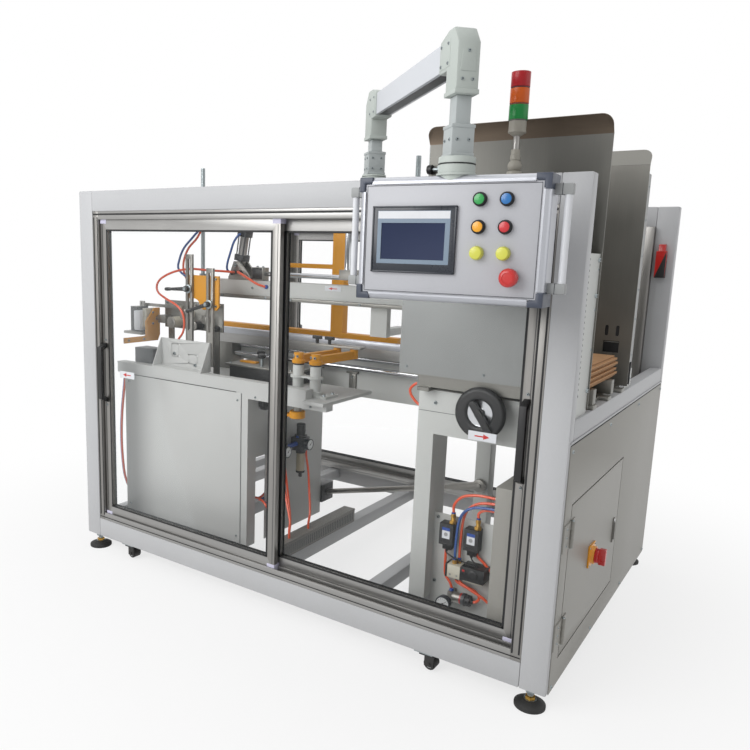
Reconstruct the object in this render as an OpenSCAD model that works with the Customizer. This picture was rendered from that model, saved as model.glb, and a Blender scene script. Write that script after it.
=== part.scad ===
// Case erector: an enclosed machine that takes flat carton blanks from a magazine,
// opens them and folds their lower flaps. Millimetres, +Z up, front towards -Y.
// Pieces are drawn from the front left corner of the frame; place() centres the part.

/* [Frame] */
// Length of the frame, from the discharge end to the magazine end
frame_l = 1900; // [1850:10:2200]
// Width of the frame, from the front doors to the rear doors
frame_w = 1280; // [1200:10:1500]
// Height of the top rail above the floor
frame_h = 1450; // [1400:10:1600]
// Height of the frame above the floor
foot_h = 80; // [70:5:110]
// Floor level in the drawing's heights; the feet start here
datum = 24; // [0:1:40]
// Width of posts and rails, seen from the front
post_w = 75; // [60:5:90]
// Depth of posts and rails
post_d = 40; // [30:5:50]
// Height of the sill that the magazine rests on
sill_z = 838; // [800:2:870]

/* [Doors] */
// Width of the fixed profile round each door opening
jamb_w = 30; // [24:2:40]
// Width of a door's stiles
stile_w = 32; // [26:2:44]
// Thickness of a door
door_t = 20; // [16:1:26]
// Thickness of the clear panes
pane_t = 5; // [3:0.5:8]
// Length of a door handle
handle_l = 235; // [160:5:300]

/* [Magazine] */
// Space between the two hopper plates
hopper_w = 457; // [400:1:480]
// Top of the front hopper plate above the floor
hopper_top = 1606; // [1540:2:1660]
// Thickness of the hopper plates
plate_t = 3; // [2:0.5:5]

/* [Operator panel] */
// Width of the panel, without its side handles
panel_w = 450; // [430:2:500]
// Height of the panel
panel_h = 286; // [280:2:320]
// Depth of the panel
panel_d = 82; // [60:2:100]
// Angle that the panel is turned on its arm
panel_yaw = 5; // [0:1:10]
// Reach of the arm, from the riser to the drop tube
arm_reach = 686; // [660:1:710]
// Angle of the arm, from the length of the frame towards the front
arm_angle = 43.8; // [40:0.1:47]

/* [Mechanism] */
// Height of the worktable
table_z = 738; // [700:2:760]
// Height of the underside of the forming beam
beam_z = 1062; // [1040:2:1090]
// Distance of the carton's centre line from the front
path_y = 400; // [380:1:410]
// Diameter of the handwheel
wheel_d = 155; // [130:5:170]

/* [Hidden] */
$fn = 48;

// Clearances: running gap of a moving piece, gap at a runner, gap in a guide
run = 5;
seat = 0.3;
slack = 2;

// Openings of the painted frame and of the profiles inside it
open_x0 = post_w;
open_x1 = frame_l - post_w;
open_z0 = foot_h + post_w;
open_z1 = frame_h - post_w;
bay_x0 = open_x0 + jamb_w;
bay_x1 = open_x1 - jamb_w;

// Double track: front fin, groove, middle fin, groove, rear fin
track_y0 = 2;
track_t = 10;
fin_t = 6;
fin_mid_t = 4;
fin_h = 20;
groove_w = door_t + 2 * slack;
track_y1 = track_y0 + 2 * fin_t + fin_mid_t + 2 * groove_w;

// Sliding doors, which overlap by one stile where they meet
door_w = (bay_x1 - bay_x0 - 2 * run + stile_w) / 2;
door_z0 = open_z0 + track_t + seat;
door_h = open_z1 - track_t - run - door_z0;
door_rail = fin_h + stile_w;
left_x = bay_x0 + run;
right_x = bay_x1 - run - door_w;
outer_y = track_y0 + fin_t + slack;
inner_y = outer_y + groove_w + fin_mid_t;
handle_w = 20;
handle_reach = 35;
handle_t = 13;
handle_z = 645;

// Floor and roof beams; the floor beams carry the table, gantry and pedestal
floor_z = foot_h + 70;
beam_w = 50;
gantry_x = [130, 420];
duct_x = 875;
duct_h = 55;
bar_x = 1270;
leg_w = 55;
pedestal_x0 = frame_l - 515;
floor_x = [gantry_x[0], gantry_x[1], duct_x, bar_x - 15, pedestal_x0 + leg_w / 2];

// Electrical cabinet in the magazine end
skin = 2;
cab_wall = 3;
cab_depth = 205;
cab_y0 = track_y1 + 6;
cab_y1 = cab_y0 + 618;
cab_z0 = open_z0;
cab_z1 = open_z0 + 456;
cab_lip = 6;
hatch_y0 = cab_y0 + cab_lip + run;
hatch_y1 = cab_y1 - cab_lip - run;
hatch_z0 = cab_z0 + cab_lip + run;
hatch_z1 = cab_z1 - cab_lip - run;
hatch_t = 16;
hinge_d = 12;
hinge_x = frame_l + skin + hinge_d / 2;
hinge_y = cab_y0 + cab_lip + run / 2;
hinge_z = [hatch_z0 + 40, hatch_z1 - 115];
hinge_l = 75;
switch_y = cab_y0 + 275;
switch_z = cab_z0 + 220;
switch_x = frame_l + skin;

// Magazine
sill_h = 63;
bed_t = 12;
bed_z = sill_z + bed_t;
hopper_y0 = path_y - 235;
hopper_y1 = hopper_y0 + plate_t + hopper_w;
hopper_x0 = frame_l - 512;
hopper_x1 = frame_l - 4;
apron_x0 = frame_l - 575;
board_t = 6;
board_n = 11;
stack_lift = 42;

// Panel arm: swivel axis on the front top rail, drop axis at its free end
base_x = frame_l - 740;
base_y = 240;
drop_x = base_x + arm_reach * cos(arm_angle);
drop_y = base_y - arm_reach * sin(arm_angle);
arm_z0 = frame_h + 41;
arm_socket_w = 54;
arm_socket_h = 70;
elbow_z = frame_h + 147;
arm_beam_z = frame_h + 242;
arm_beam_h = 62;
arm_beam_w = 48;
elbow_w = 54;
elbow_r = 32;
elbow_out = 78;
panel_z1 = frame_h - 27;
panel_z0 = panel_z1 - panel_h;
coupling_h = 42;
rim = 14;
recess = 4;
cap = 34;

// Tower light on the front top rail
tower_x = frame_l - 203;
tower_y = 22;
lamp_d = 47;
lamp_h = 39;
lamp_z = frame_h + 133;

// Worktable and forming station
table_x0 = 70;
table_x1 = 726;
table_y0 = 150;
table_y1 = 640;
table_t = 4;
table_leg = 50;
table_skirt = 250;
deck_t = 12;
rail_z1 = table_z + 44;
shelf_t = 12;
tube_x1 = 980;
shelf_x1 = 1066;
shelf_y0 = 130;
shelf_y1 = 450;
shelf_z1 = table_z + shelf_t;
column_d = 39;
column_h = 112;
column_tie = 62;
rear_column = [899, 217];
front_column = [970, 221];
flap_angle = 86;
flap_reach = 226;
flap_eye = 34;
flap_foot = 46;
flap_tip = 30;
knob_at = [35, 89];
flap_z = shelf_z1 + column_h + seat;
flap_h = 36;
guard_x0 = 226;
guard_x1 = 490;
guard_y0 = table_y0 + 2;
guard_y1 = guard_y0 + 58;
guard_z1 = rail_z1 + 112;
guard_t = 4;
form_post = [[374, guard_z1 + 331], [482, guard_z1 + 282]];
form_post_t = 10;
form_plate_t = 8;
rig_x = 122;
rig_y = 275;
rig_z = table_z + 222;
rig_d = 18;
head_x = [150, 470];
head_y = table_y0 + 150;
head_plate_t = 6;

// Forming beam, hung on two threaded rods from the roof beams
hang_x = [270, 1234];
upper_x0 = hang_x[0] - 40;
upper_x1 = hang_x[1] + 46;
upper_plate_t = 13;
upper_h = 56;
upper_z1 = beam_z + upper_plate_t + upper_h;
screw_d = 16;
guide_x = 974;
guide_d = 24;
slide_d = 18;
slide_z = upper_z1 + 27;
clamp_x = [guide_x - 20, guide_x + 57];
clamp_z = [slide_z - 8, slide_z + 28];
stop_x = [547, 600];
press_x = 475;
press_z = 56;
press_lean = 9;

// Pedestal with the width adjustment handwheel
head_h = 138;
head_y0 = 190;
head_y1 = 755;
wheel_x = frame_l - 295;
wheel_z = sill_z - 41;
wheel_y = head_y0 - 45;
valve_y = head_y0 + 50;
valve_x0 = pedestal_x0 + leg_w;
valve_x1 = frame_l - cab_depth;
valve_z1 = floor_z + 282;
tie_y = head_y1 - leg_w - 18;
tie_x = [735, pedestal_x0 + leg_w / 2];
tie_z = [floor_z + 83, floor_z + 252];
tie_d = 22;

// Gantry behind the carton path
gantry_y0 = 680;
gantry_s = 40;
gantry_h = 25;
gantry_z = table_z + 159;
gantry_x1 = 1040;
portal_x = [440, 724];
portal_w = 58;
portal_z = gantry_z + 283;

// Extent of the part, used to centre it
switch_reach = 44;
x_max = switch_x + switch_reach;
button_reach = 26;
stop_u = 152;
corner_y = panel_w / 2 * sin(panel_yaw) + panel_d / 2 * cos(panel_yaw);
stop_y = (panel_d / 2 - recess + button_reach) * cos(panel_yaw) - stop_u * sin(panel_yaw);
y_min = drop_y - max(corner_y, stop_y);
y_max = frame_w - outer_y + handle_reach;

// Moves the part so that the middle of its footprint is the origin
module place() {
  translate([-x_max / 2, -(y_min + y_max) / 2, -datum]) children();
}

// Box between pairs of coordinates
module bar(x, y, z) {
  translate([x[0], y[0], z[0]]) cube([x[1] - x[0], y[1] - y[0], z[1] - z[0]]);
}

// Round rods along each axis
module rod_x(x, y, z, d) {
  translate([x[0], y, z]) rotate([0, 90, 0]) cylinder(h = x[1] - x[0], d = d);
}
module rod_y(x, y, z, d) {
  translate([x, y[1], z]) rotate([90, 0, 0]) cylinder(h = y[1] - y[0], d = d);
}
module rod_z(x, y, z, d) {
  translate([x, y, z[0]]) cylinder(h = z[1] - z[0], d = d);
}

// Repeats what is drawn at the front, mirrored to the rear
module at_rear() {
  translate([0, frame_w, 0]) mirror([0, 1, 0]) children();
}
module front_and_rear() {
  children();
  at_rear() children();
}

// Painted tube frame
module corner_posts() {
  color("gainsboro") place() front_and_rear()
    for (x = [0, frame_l - post_w])
      bar([x, x + post_w], [0, post_d], [foot_h, frame_h]);
}

module long_rails() {
  color("gainsboro") place() front_and_rear()
    for (z = [foot_h, frame_h - post_w])
      bar([open_x0, open_x1], [0, post_d], [z, z + post_w]);
}

module side_rails() {
  inner_y = [post_d, frame_w - post_d];
  color("gainsboro") place() {
    for (z = [foot_h, frame_h - post_w])
      bar([0, post_d], inner_y, [z, z + post_w]);
    bar([frame_l - post_d, frame_l], inner_y, [foot_h, foot_h + post_w]);
    bar([frame_l - post_d, frame_l], inner_y, [sill_z - sill_h, sill_z]);
  }
}

module cross_beams() {
  inner_y = [post_d, frame_w - post_d];
  color("gainsboro") place() {
    for (x = floor_x)
      bar([x - beam_w / 2, x + beam_w / 2], inner_y, [floor_z - 50, floor_z]);
    difference() {
      for (x = hang_x)
        bar([x - beam_w / 2, x + beam_w / 2], inner_y, [open_z1 + 10, open_z1 + 60]);
      for (x = hang_x)
        rod_z(x, path_y, [open_z1, frame_h], screw_d);
    }
    bar([guide_x - beam_w / 2, guide_x + beam_w / 2], inner_y, [open_z1 + 10, open_z1 + 60]);
  }
}

// Door tracks, guides and jambs
module door_tracks() {
  color("silver") place() front_and_rear()
    for (z = [open_z0, open_z1 - track_t])
      bar([bay_x0, bay_x1], [track_y0, track_y1], [z, z + track_t]);
}

module door_guides() {
  fins = [
    [track_y0, track_y0 + fin_t],
    [track_y0 + fin_t + groove_w, track_y0 + fin_t + groove_w + fin_mid_t],
    [track_y1 - fin_t, track_y1]
  ];
  color("silver") place() front_and_rear()
    for (y = fins, z = [open_z0 + track_t, open_z1 - track_t - fin_h])
      bar([bay_x0, bay_x1], y, [z, z + fin_h]);
}

module door_jambs() {
  color("silver") place() front_and_rear()
    for (x = [open_x0, bay_x1])
      bar([x, x + jamb_w], [track_y0, track_y1], [open_z0, open_z1]);
}

// Sliding door, drawn with its lower left corner at the origin
module door_frame() {
  color("silver") difference() {
    cube([door_w, door_t, door_h]);
    translate([stile_w, -1, door_rail])
      cube([door_w - 2 * stile_w, door_t + 2, door_h - 2 * door_rail]);
  }
}

module door_pane() {
  color("aliceblue", 0.3) translate([stile_w, (door_t - pane_t) / 2, door_rail])
    cube([door_w - 2 * stile_w, pane_t, door_h - 2 * door_rail]);
}

// Bow handle on the stile at stile_x
module door_handle(stile_x) {
  bow = [
    [0, 0], [handle_reach, 16], [handle_reach, handle_l - 16], [0, handle_l],
    [0, handle_l - 16], [handle_reach - handle_t, handle_l - 30],
    [handle_reach - handle_t, 30], [0, 16]
  ];
  color("black") translate([stile_x + (stile_w + handle_w) / 2, 0, handle_z - door_z0])
    rotate([90, 0, -90]) linear_extrude(handle_w) polygon(bow);
}

module at_left_door() {
  place() translate([left_x, outer_y, door_z0]) children();
}
module at_right_door() {
  place() translate([right_x, inner_y, door_z0]) children();
}
module at_rear_left_door() {
  place() at_rear() translate([left_x, outer_y, door_z0]) children();
}
module at_rear_right_door() {
  place() at_rear() translate([right_x, inner_y, door_z0]) children();
}

module front_left_door() { at_left_door() door_frame(); }
module front_left_pane() { at_left_door() door_pane(); }
module front_left_handle() { at_left_door() door_handle(0); }
module front_right_door() { at_right_door() door_frame(); }
module front_right_pane() { at_right_door() door_pane(); }
module front_right_handle() { at_right_door() door_handle(door_w - stile_w); }
module rear_left_door() { at_rear_left_door() door_frame(); }
module rear_left_pane() { at_rear_left_door() door_pane(); }
module rear_left_handle() { at_rear_left_door() door_handle(0); }
module rear_right_door() { at_rear_right_door() door_frame(); }
module rear_right_pane() { at_rear_right_door() door_pane(); }
module rear_right_handle() { at_rear_right_door() door_handle(door_w - stile_w); }

// Levelling foot: pad, cone, spindle and locknut
module levelling_feet() {
  foot_y = post_d - 12;
  top = foot_h - datum;
  color("dimgray") place() front_and_rear()
    for (x = [44, frame_l - 48]) translate([x, foot_y, datum]) {
      cylinder(h = 9, d = 86);
      translate([0, 0, 9]) cylinder(h = 13, d1 = 80, d2 = 36);
      cylinder(h = top, d = 18);
      translate([0, 0, top - 14]) cylinder(h = 14, d = 32, $fn = 6);
    }
}

// Caster, raised off the floor while the feet carry the machine
module casters() {
  wheel_r = 19;
  axle_z = datum + 4 + wheel_r;
  color("black") place() front_and_rear()
    for (x = [232, frame_l - 366]) translate([x, 26, 0]) {
      bar([-30, 30], [-22, 22], [foot_h - 4, foot_h]);
      rod_z(0, 0, [foot_h - 10, foot_h], 34);
      for (y = [-19, 15])
        bar([4, 34], [y, y + 4], [axle_z - 8, foot_h - 8]);
      bar([-14, 34], [-19, 19], [foot_h - 10, foot_h - 6]);
      rod_y(20, [-15, 15], axle_z, 2 * wheel_r);
      rod_y(20, [-23, 23], axle_z, 10);
    }
}

// Fixed hinge half: leaf on the end panel and the two outer knuckles
module hinge_half(z) {
  third = hinge_l / 3;
  bar([frame_l + skin, frame_l + skin + 3], [18, hinge_y - hinge_d / 2 - 2], [z, z + hinge_l]);
  for (k = [z, z + 2 * third]) {
    rod_z(hinge_x, hinge_y, [k, k + third], hinge_d);
    bar([frame_l + skin, frame_l + skin + 3], [18, hinge_y - 3], [k, k + third]);
    bar([frame_l + skin, hinge_x], [hinge_y - 5, hinge_y - 3], [k, k + third]);
  }
}

// Magazine end: screwed panel with the cabinet's door opening and hinges
module end_panel() {
  color("gainsboro") place() {
    difference() {
      bar([frame_l, frame_l + skin], [17, frame_w - 17], [foot_h, sill_z - sill_h]);
      bar([frame_l - 1, frame_l + skin + 1],
          [cab_y0 + cab_lip, cab_y1 - cab_lip], [cab_z0 + cab_lip, cab_z1 - cab_lip]);
    }
    for (z = hinge_z) hinge_half(z);
  }
}

module cabinet_shell() {
  color("whitesmoke") place() difference() {
    bar([frame_l - cab_depth, frame_l], [cab_y0, cab_y1], [cab_z0, cab_z1]);
    bar([frame_l - cab_depth + cab_wall, frame_l + 1],
        [cab_y0 + cab_wall, cab_y1 - cab_wall], [cab_z0 + cab_wall, cab_z1 - cab_wall]);
  }
}

// Tray door of the cabinet with the middle knuckle of each hinge
module cabinet_door() {
  third = hinge_l / 3;
  color("gainsboro") place() {
    bar([switch_x - hatch_t, switch_x], [hatch_y0, hatch_y1], [hatch_z0, hatch_z1]);
    for (z = hinge_z) {
      k = [z + third + seat, z + 2 * third - seat];
      rod_z(hinge_x, hinge_y, k, hinge_d);
      bar([switch_x, switch_x + 3], [hinge_y + hinge_d / 2 + slack, hatch_y0 + 34], [z, z + hinge_l]);
      bar([switch_x, switch_x + 3], [hatch_y0, hatch_y0 + 20], k);
      bar([switch_x, hinge_x], [hinge_y + 3, hinge_y + 5], k);
    }
  }
}

module cabinet_latch() {
  y = hatch_y1 - 48;
  z = (hatch_z0 + hatch_z1) / 2 - 18;
  color("black") place() {
    bar([switch_x, switch_x + 3], [y - 8, y + 8], [z - 42, z + 42]);
    bar([switch_x + 3, switch_x + 7], [y - 4, y + 4], [z - 32, z + 26]);
  }
}

module switch_plate() {
  color("gold") place() translate([switch_x, switch_y, switch_z]) {
    bar([0, 5], [-33, 33], [-33, 33]);
    rod_x([5, 15], 0, 0, 54);
  }
}

module switch_knob() {
  color("red") place() translate([switch_x, switch_y, switch_z]) {
    rod_x([15 + seat, 26], 0, 0, 44);
    bar([26, switch_reach], [-8, 8], [-24, 24]);
  }
}

// Magazine: hopper plates on a bed, with the blanks between them
// Lip of a hopper plate, flared outwards, with rounded corners
lip_h = 52;
lip_angle = 29;
lip_r = 28;
module hopper_lip(x, lean) {
  outline = concat(
    [[x[0], -2], [x[1], -2]],
    [for (a = [0:15:90]) [x[1] - lip_r + lip_r * cos(a), lip_h - lip_r + lip_r * sin(a)]],
    [for (a = [90:15:180]) [x[0] + lip_r + lip_r * cos(a), lip_h - lip_r + lip_r * sin(a)]]
  );
  rotate([90 + lean, 0, 0]) linear_extrude(plate_t) polygon(outline);
}

module magazine_plates() {
  window = [frame_l - 85, frame_l - 37];
  cut_y = [hopper_y1 - 1, hopper_y1 + plate_t + 1];
  front_z = hopper_top - lip_h * cos(lip_angle);
  rear_z = front_z - 26;
  color("lightgray") place() {
    bar([hopper_x0, hopper_x1], [hopper_y0, hopper_y0 + plate_t], [bed_z, front_z]);
    translate([0, hopper_y0 + plate_t, front_z]) hopper_lip([hopper_x0, hopper_x1], lip_angle);
    translate([0, hopper_y1 + plate_t, rear_z]) hopper_lip([hopper_x0, frame_l], -lip_angle);
    bar([apron_x0, frame_l - post_d], [hopper_y0 - plate_t, hopper_y0], [bed_z + 32, bed_z + 290]);
    difference() {
      bar([hopper_x0, frame_l], [hopper_y1, hopper_y1 + plate_t], [bed_z, rear_z]);
      bar(window, cut_y, [bed_z + 104, bed_z + 141]);
      for (x = [window[0] + 7, window[1] - 8]) {
        bar([x - 5, x + 5], cut_y, [bed_z + 162, bed_z + 186]);
        for (z = [162, 186])
          rod_y(x, cut_y, bed_z + z, 10);
      }
    }
  }
}

// White angles that tie the hopper plates to the end posts
module magazine_angles() {
  x1 = frame_l - 8;
  color("whitesmoke") place() {
    bar([x1 - 3, x1], [post_d, hopper_y0], [sill_z, sill_z + 422]);
    bar([x1 - 30, x1], [post_d, post_d + 3], [sill_z, sill_z + 422]);
    bar([x1 - 3, x1], [hopper_y1 + plate_t, hopper_y1 + plate_t + 90], [sill_z, sill_z + 60]);
  }
}

module magazine_bed() {
  rails = [path_y - 190, path_y - 20, path_y + 150];
  color("lightgray") place() {
    for (y = rails)
      bar([pedestal_x0, frame_l], [y, y + 40], [sill_z, bed_z]);
    for (x = [pedestal_x0 + 10, frame_l - 65])
      bar([x, x + 40], [hopper_y0 - 15, hopper_y1 + 15], [sill_z, bed_z]);
    for (y = [hopper_y0 + 60, hopper_y0 + 270])
      bar([hopper_x0 + 40, frame_l - 6], [y, y + 30], [bed_z, bed_z + stack_lift]);
  }
}

module carton_blanks() {
  color("peru") place() for (i = [0:board_n - 1])
    bar([hopper_x0 + 60 + 3 * (i % 3), frame_l - 24 + 3 * (2 * i % 5)],
        [hopper_y0 + plate_t + 8, hopper_y0 + plate_t + 350],
        [bed_z + stack_lift + i * board_t, bed_z + stack_lift + (i + 1) * board_t]);
}

// Tower light: swivel base, pole and three stacked lamps
module tower_light() {
  neck = lamp_z - frame_h - 30;
  color("darkgray") place() translate([tower_x, tower_y, frame_h]) {
    cylinder(h = 8, d = 36);
    translate([0, 0, 22]) sphere(d = 34);
    cylinder(h = 62, d = 22);
    cylinder(h = neck - 2, d = 16);
    translate([0, 0, neck - 8]) cylinder(h = 8, d1 = 22, d2 = lamp_d - 4);
    translate([0, 0, neck]) cylinder(h = lamp_z - frame_h - neck - 4, d = lamp_d - 4);
    for (i = [0:2])
      translate([0, 0, lamp_z - frame_h + i * lamp_h]) {
        translate([0, 0, -4]) cylinder(h = lamp_h, d = lamp_d - 4);
        cylinder(h = lamp_h - 4, d = lamp_d);
      }
  }
}

// Panel arm
module arm_base() {
  plate_z = open_z1 + 60;
  color("whitesmoke") place() {
    bar([min(guide_x - beam_w / 2, base_x - 48), max(hang_x[1] + beam_w / 2, base_x + 48)],
        [base_y - 48, base_y + 48], [plate_z, plate_z + 10]);
    rod_z(base_x, base_y, [plate_z + 10, arm_z0 - 14], 84);
    rod_z(base_x, base_y, [arm_z0 - 14, arm_z0], 76);
  }
}

// Elbow casting seen from its side: leg below, arm towards +X, outer corner chamfered
module elbow(top) {
  outline = [
    [-elbow_r, elbow_z], [-elbow_r, top - 36], [-elbow_r + 28, top], [elbow_r, top],
    [elbow_out, arm_beam_z + arm_beam_h / 2 + 5],
    [elbow_out, arm_beam_z - arm_beam_h / 2 - 6], [elbow_r, arm_beam_z - arm_beam_h / 2 - 6],
    [elbow_r, elbow_z]
  ];
  translate([0, elbow_w / 2, 0]) rotate([90, 0, 0]) linear_extrude(elbow_w) polygon(outline);
}

module arm_elbows() {
  top = arm_beam_z + arm_beam_h / 2 + 19;
  color("whitesmoke") place() {
    translate([base_x, base_y, 0]) rotate([0, 0, -arm_angle]) elbow(top);
    translate([drop_x, drop_y, 0]) rotate([0, 0, 180 - arm_angle]) elbow(top);
  }
}

// Square tube in a box-shaped socket, from the swivel at z up to the elbow
module socket_tube(z) {
  w = arm_socket_w / 2;
  bar([-w, w], [-w, w], [z, z + arm_socket_h]);
  bar([-20, 20], [-18, 18], [z + arm_socket_h, elbow_z]);
}

module arm_tubes() {
  color("whitesmoke") place() {
    translate([base_x, base_y, 0]) rotate([0, 0, -arm_angle]) socket_tube(arm_z0 + seat);
    translate([drop_x, drop_y, 0]) rotate([0, 0, -arm_angle]) socket_tube(panel_z1 + coupling_h + seat);
    translate([base_x, base_y, arm_beam_z]) rotate([0, 0, -arm_angle])
      bar([elbow_out, arm_reach - elbow_out],
          [-arm_beam_w / 2, arm_beam_w / 2], [-arm_beam_h / 2, arm_beam_h / 2]);
  }
}

// Operator panel, drawn about the drop axis with its face towards -Y
module at_panel() {
  place() translate([drop_x, drop_y, 0]) rotate([0, 0, panel_yaw]) children();
}

module panel_corners() {
  for (x = [-panel_w / 2, panel_w / 2 - cap], z = [panel_z0, panel_z1 - cap])
    bar([x, x + cap], [-panel_d / 2, panel_d / 2], [z, z + cap]);
}

module panel_box() {
  face = -panel_d / 2;
  color("whitesmoke") at_panel() {
    difference() {
      bar([-panel_w / 2, panel_w / 2], [face, -face], [panel_z0, panel_z1]);
      bar([-panel_w / 2 + rim, panel_w / 2 - rim], [face - 1, face + recess], [panel_z0 + rim, panel_z1 - rim]);
      panel_corners();
    }
    rod_z(0, 0, [panel_z1, panel_z1 + coupling_h], 84);
  }
}

module panel_caps() {
  face = -panel_d / 2;
  color("slategray") at_panel() difference() {
    panel_corners();
    bar([-panel_w / 2 + rim, panel_w / 2 - rim], [face - 1, face + recess], [panel_z0 + rim, panel_z1 - rim]);
  }
}

module panel_handles() {
  reach = 28;
  tube = 15;
  z = [panel_z0 + 42, panel_z1 - 32];
  color("lightgray") at_panel() for (s = [-1, 1]) {
    x = s * (panel_w / 2 + reach);
    rod_z(x, 0, z, tube);
    for (k = z) {
      translate([x, 0, k]) sphere(d = tube);
      rod_x([min(x, s * panel_w / 2), max(x, s * panel_w / 2)], 0, k, tube);
    }
  }
}

screen_u = -82;
screen_z = panel_z0 + 142;
module touch_screen() {
  face = -panel_d / 2 + recess;
  color("black") at_panel() difference() {
    bar([screen_u - 104, screen_u + 104], [face - 6, face], [screen_z - 77, screen_z + 77]);
    bar([screen_u - 80, screen_u + 80], [face - 7, face - 5], [screen_z - 46, screen_z + 50]);
  }
}

// Push buttons in two columns and three rows, with the emergency stop below
module push_buttons() {
  face = -panel_d / 2 + recess;
  row_z = [panel_z1 - 54, panel_z1 - 114, panel_z1 - 171];
  color("gold") at_panel() {
    for (u = [72, 132], z = row_z) {
      rod_y(u, [face - 4, face], z, 30);
      rod_y(u, [face - 12, face - 4], z, 23);
    }
    rod_y(stop_u, [face - 12, face], panel_z1 - 223, 30);
    rod_y(stop_u, [face - button_reach, face - 12], panel_z1 - 223, 40);
  }
}

// Guard on the front tube: plate and base with a gusset at each end, drilled for heads
module tape_guard() {
  gusset = [
    [guard_y0, rail_z1], [guard_y1, rail_z1], [guard_y1, guard_z1], [guard_y1 - 2 * guard_t, guard_z1]
  ];
  holes = [[guard_x0 + 78, rail_z1 + 68, 36, 46], [guard_x0 + 172, rail_z1 + 40, 44, 30]];
  difference() {
    union() {
      bar([guard_x0, guard_x1], [guard_y1 - guard_t, guard_y1], [rail_z1, guard_z1]);
      bar([guard_x0, guard_x1], [guard_y0, guard_y1], [rail_z1, rail_z1 + guard_t]);
      for (x = [guard_x0, guard_x1 - guard_t])
        translate([x, 0, 0]) rotate([90, 0, 90]) linear_extrude(guard_t) polygon(gusset);
    }
    for (h = holes, u = [-1, 1], v = [-1, 1])
      rod_y(h[0] + u * h[2] / 2, [guard_y1 - 2 * guard_t, guard_y1 + 1], h[1] + v * h[3] / 2, 6);
  }
}

// Worktable: housing, front tube with its guard, and the shelf of the flap columns
module worktable() {
  tube_y = [table_y0, table_y0 + 40];
  color("whitesmoke") place() {
    difference() {
      bar([table_x0, table_x1], [table_y0, table_y1], [floor_z, table_z]);
      bar([table_x0 + table_t, table_x1 - table_t], [table_y0 + table_t, table_y1 - table_t],
          [floor_z - 1, table_z - deck_t]);
      bar([table_x1 - table_t - 1, table_x1 + 1], [table_y0 + table_leg, filter_y[0] - 32],
          [floor_z - 1, table_z - table_skirt]);
      bar([table_x0 + table_leg, tie_x[0] - 110], [table_y1 - table_t - 1, table_y1 + 1],
          [floor_z - 1, table_z - table_skirt]);
    }
    bar([25, tube_x1], tube_y, [table_z, rail_z1]);
    bar([table_x1, shelf_x1], tube_y, [table_z - 20, table_z]);
    bar([table_x1 - 100, shelf_x1], [tube_y[1], shelf_y1], [table_z, shelf_z1]);
    bar([tube_x1, shelf_x1], [shelf_y0, tube_y[1]], [table_z, shelf_z1]);
    tape_guard();
  }
}

// Pedestal: head between its legs and the sill, and the valve plate between leg and cabinet
module pedestal() {
  head_z = sill_z - head_h;
  color("whitesmoke") place() {
    for (y = [[head_y0, head_y0 + 2 * leg_w], [head_y1 - leg_w, head_y1]])
      bar([pedestal_x0, pedestal_x0 + leg_w], y, [floor_z, head_z]);
    bar([pedestal_x0, frame_l - post_d], [head_y0, head_y1], [head_z, sill_z]);
    bar([valve_x0, valve_x1], [valve_y, valve_y + 4], [floor_z - 38, valve_z1]);
    rod_y(wheel_x, [wheel_y + 14, head_y0], wheel_z, 44);
  }
}

// Handwheel about the Y axis: broad rim, dished web, hub and a crank lever folded across the rim
wheel_rim = 38;
lever_w = 20;
module handwheel() {
  r = wheel_d / 2;
  dish = r - wheel_rim;
  lever = [-0.8 * dish, dish + wheel_rim / 2];
  profile = [
    [dish, -8], [r - 8, -10], [r - 2, -6], [r, 0], [r - 2, 6], [r - 8, 11], [dish + 6, 12], [dish, 8]
  ];
  color("black") place() translate([wheel_x, wheel_y, wheel_z]) rotate([90, 0, 0]) {
    rotate_extrude() polygon(profile);
    translate([0, 0, -8]) cylinder(h = 8, r = dish + 2);
    translate([0, 0, -14 + seat]) cylinder(h = 8, d = 42);
    translate([0, 0, -1]) cylinder(h = 13, d = 30);
    rotate([0, 0, -55]) {
      bar(lever, [-lever_w / 2, lever_w / 2], [9, 21]);
      for (x = lever) translate([x, 0, 9]) cylinder(h = 12, d = lever_w);
    }
  }
}

// Pressure switch: body, nose below and brass stem above
module pressure_switch() {
  bar([-23, 23], [valve_y - 36, valve_y], [0, 70]);
  bar([-12, 16], [valve_y - 30, valve_y], [-16, 0]);
  rod_z(14, valve_y - 18, [70, 80], 20);
  rod_z(14, valve_y - 18, [80, switch_stem], 14);
}

// Valves on the pedestal's plate: pressure switches, solenoid valve, regulator and gauge
switch_stem = 103;
switch_at = [57, 140];
switch_up = 194;
solenoid_x = [68, 192];
solenoid_z = [98, 140];
module valve_set() {
  translate([valve_x0, 0, floor_z]) {
    for (x = switch_at) translate([x, 0, switch_up]) pressure_switch();
    bar(solenoid_x, [valve_y - 48, valve_y], solenoid_z);
    bar([solenoid_x[0] + 54, solenoid_x[1] + 4], [valve_y - 54, valve_y],
        [solenoid_z[0] + 6, solenoid_z[1] + 8]);
    rod_x([89, 149], valve_y - 24, 26, 34);
    rod_x([122, 132], valve_y - 24, 26, 40);
    bar([76, 90], [valve_y - 40, valve_y], [4, 44]);
    rod_y(70, [valve_y - 40, valve_y], 8, 20);
    rod_y(70, [valve_y - 60, valve_y - 40], 8, 46);
  }
}

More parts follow.
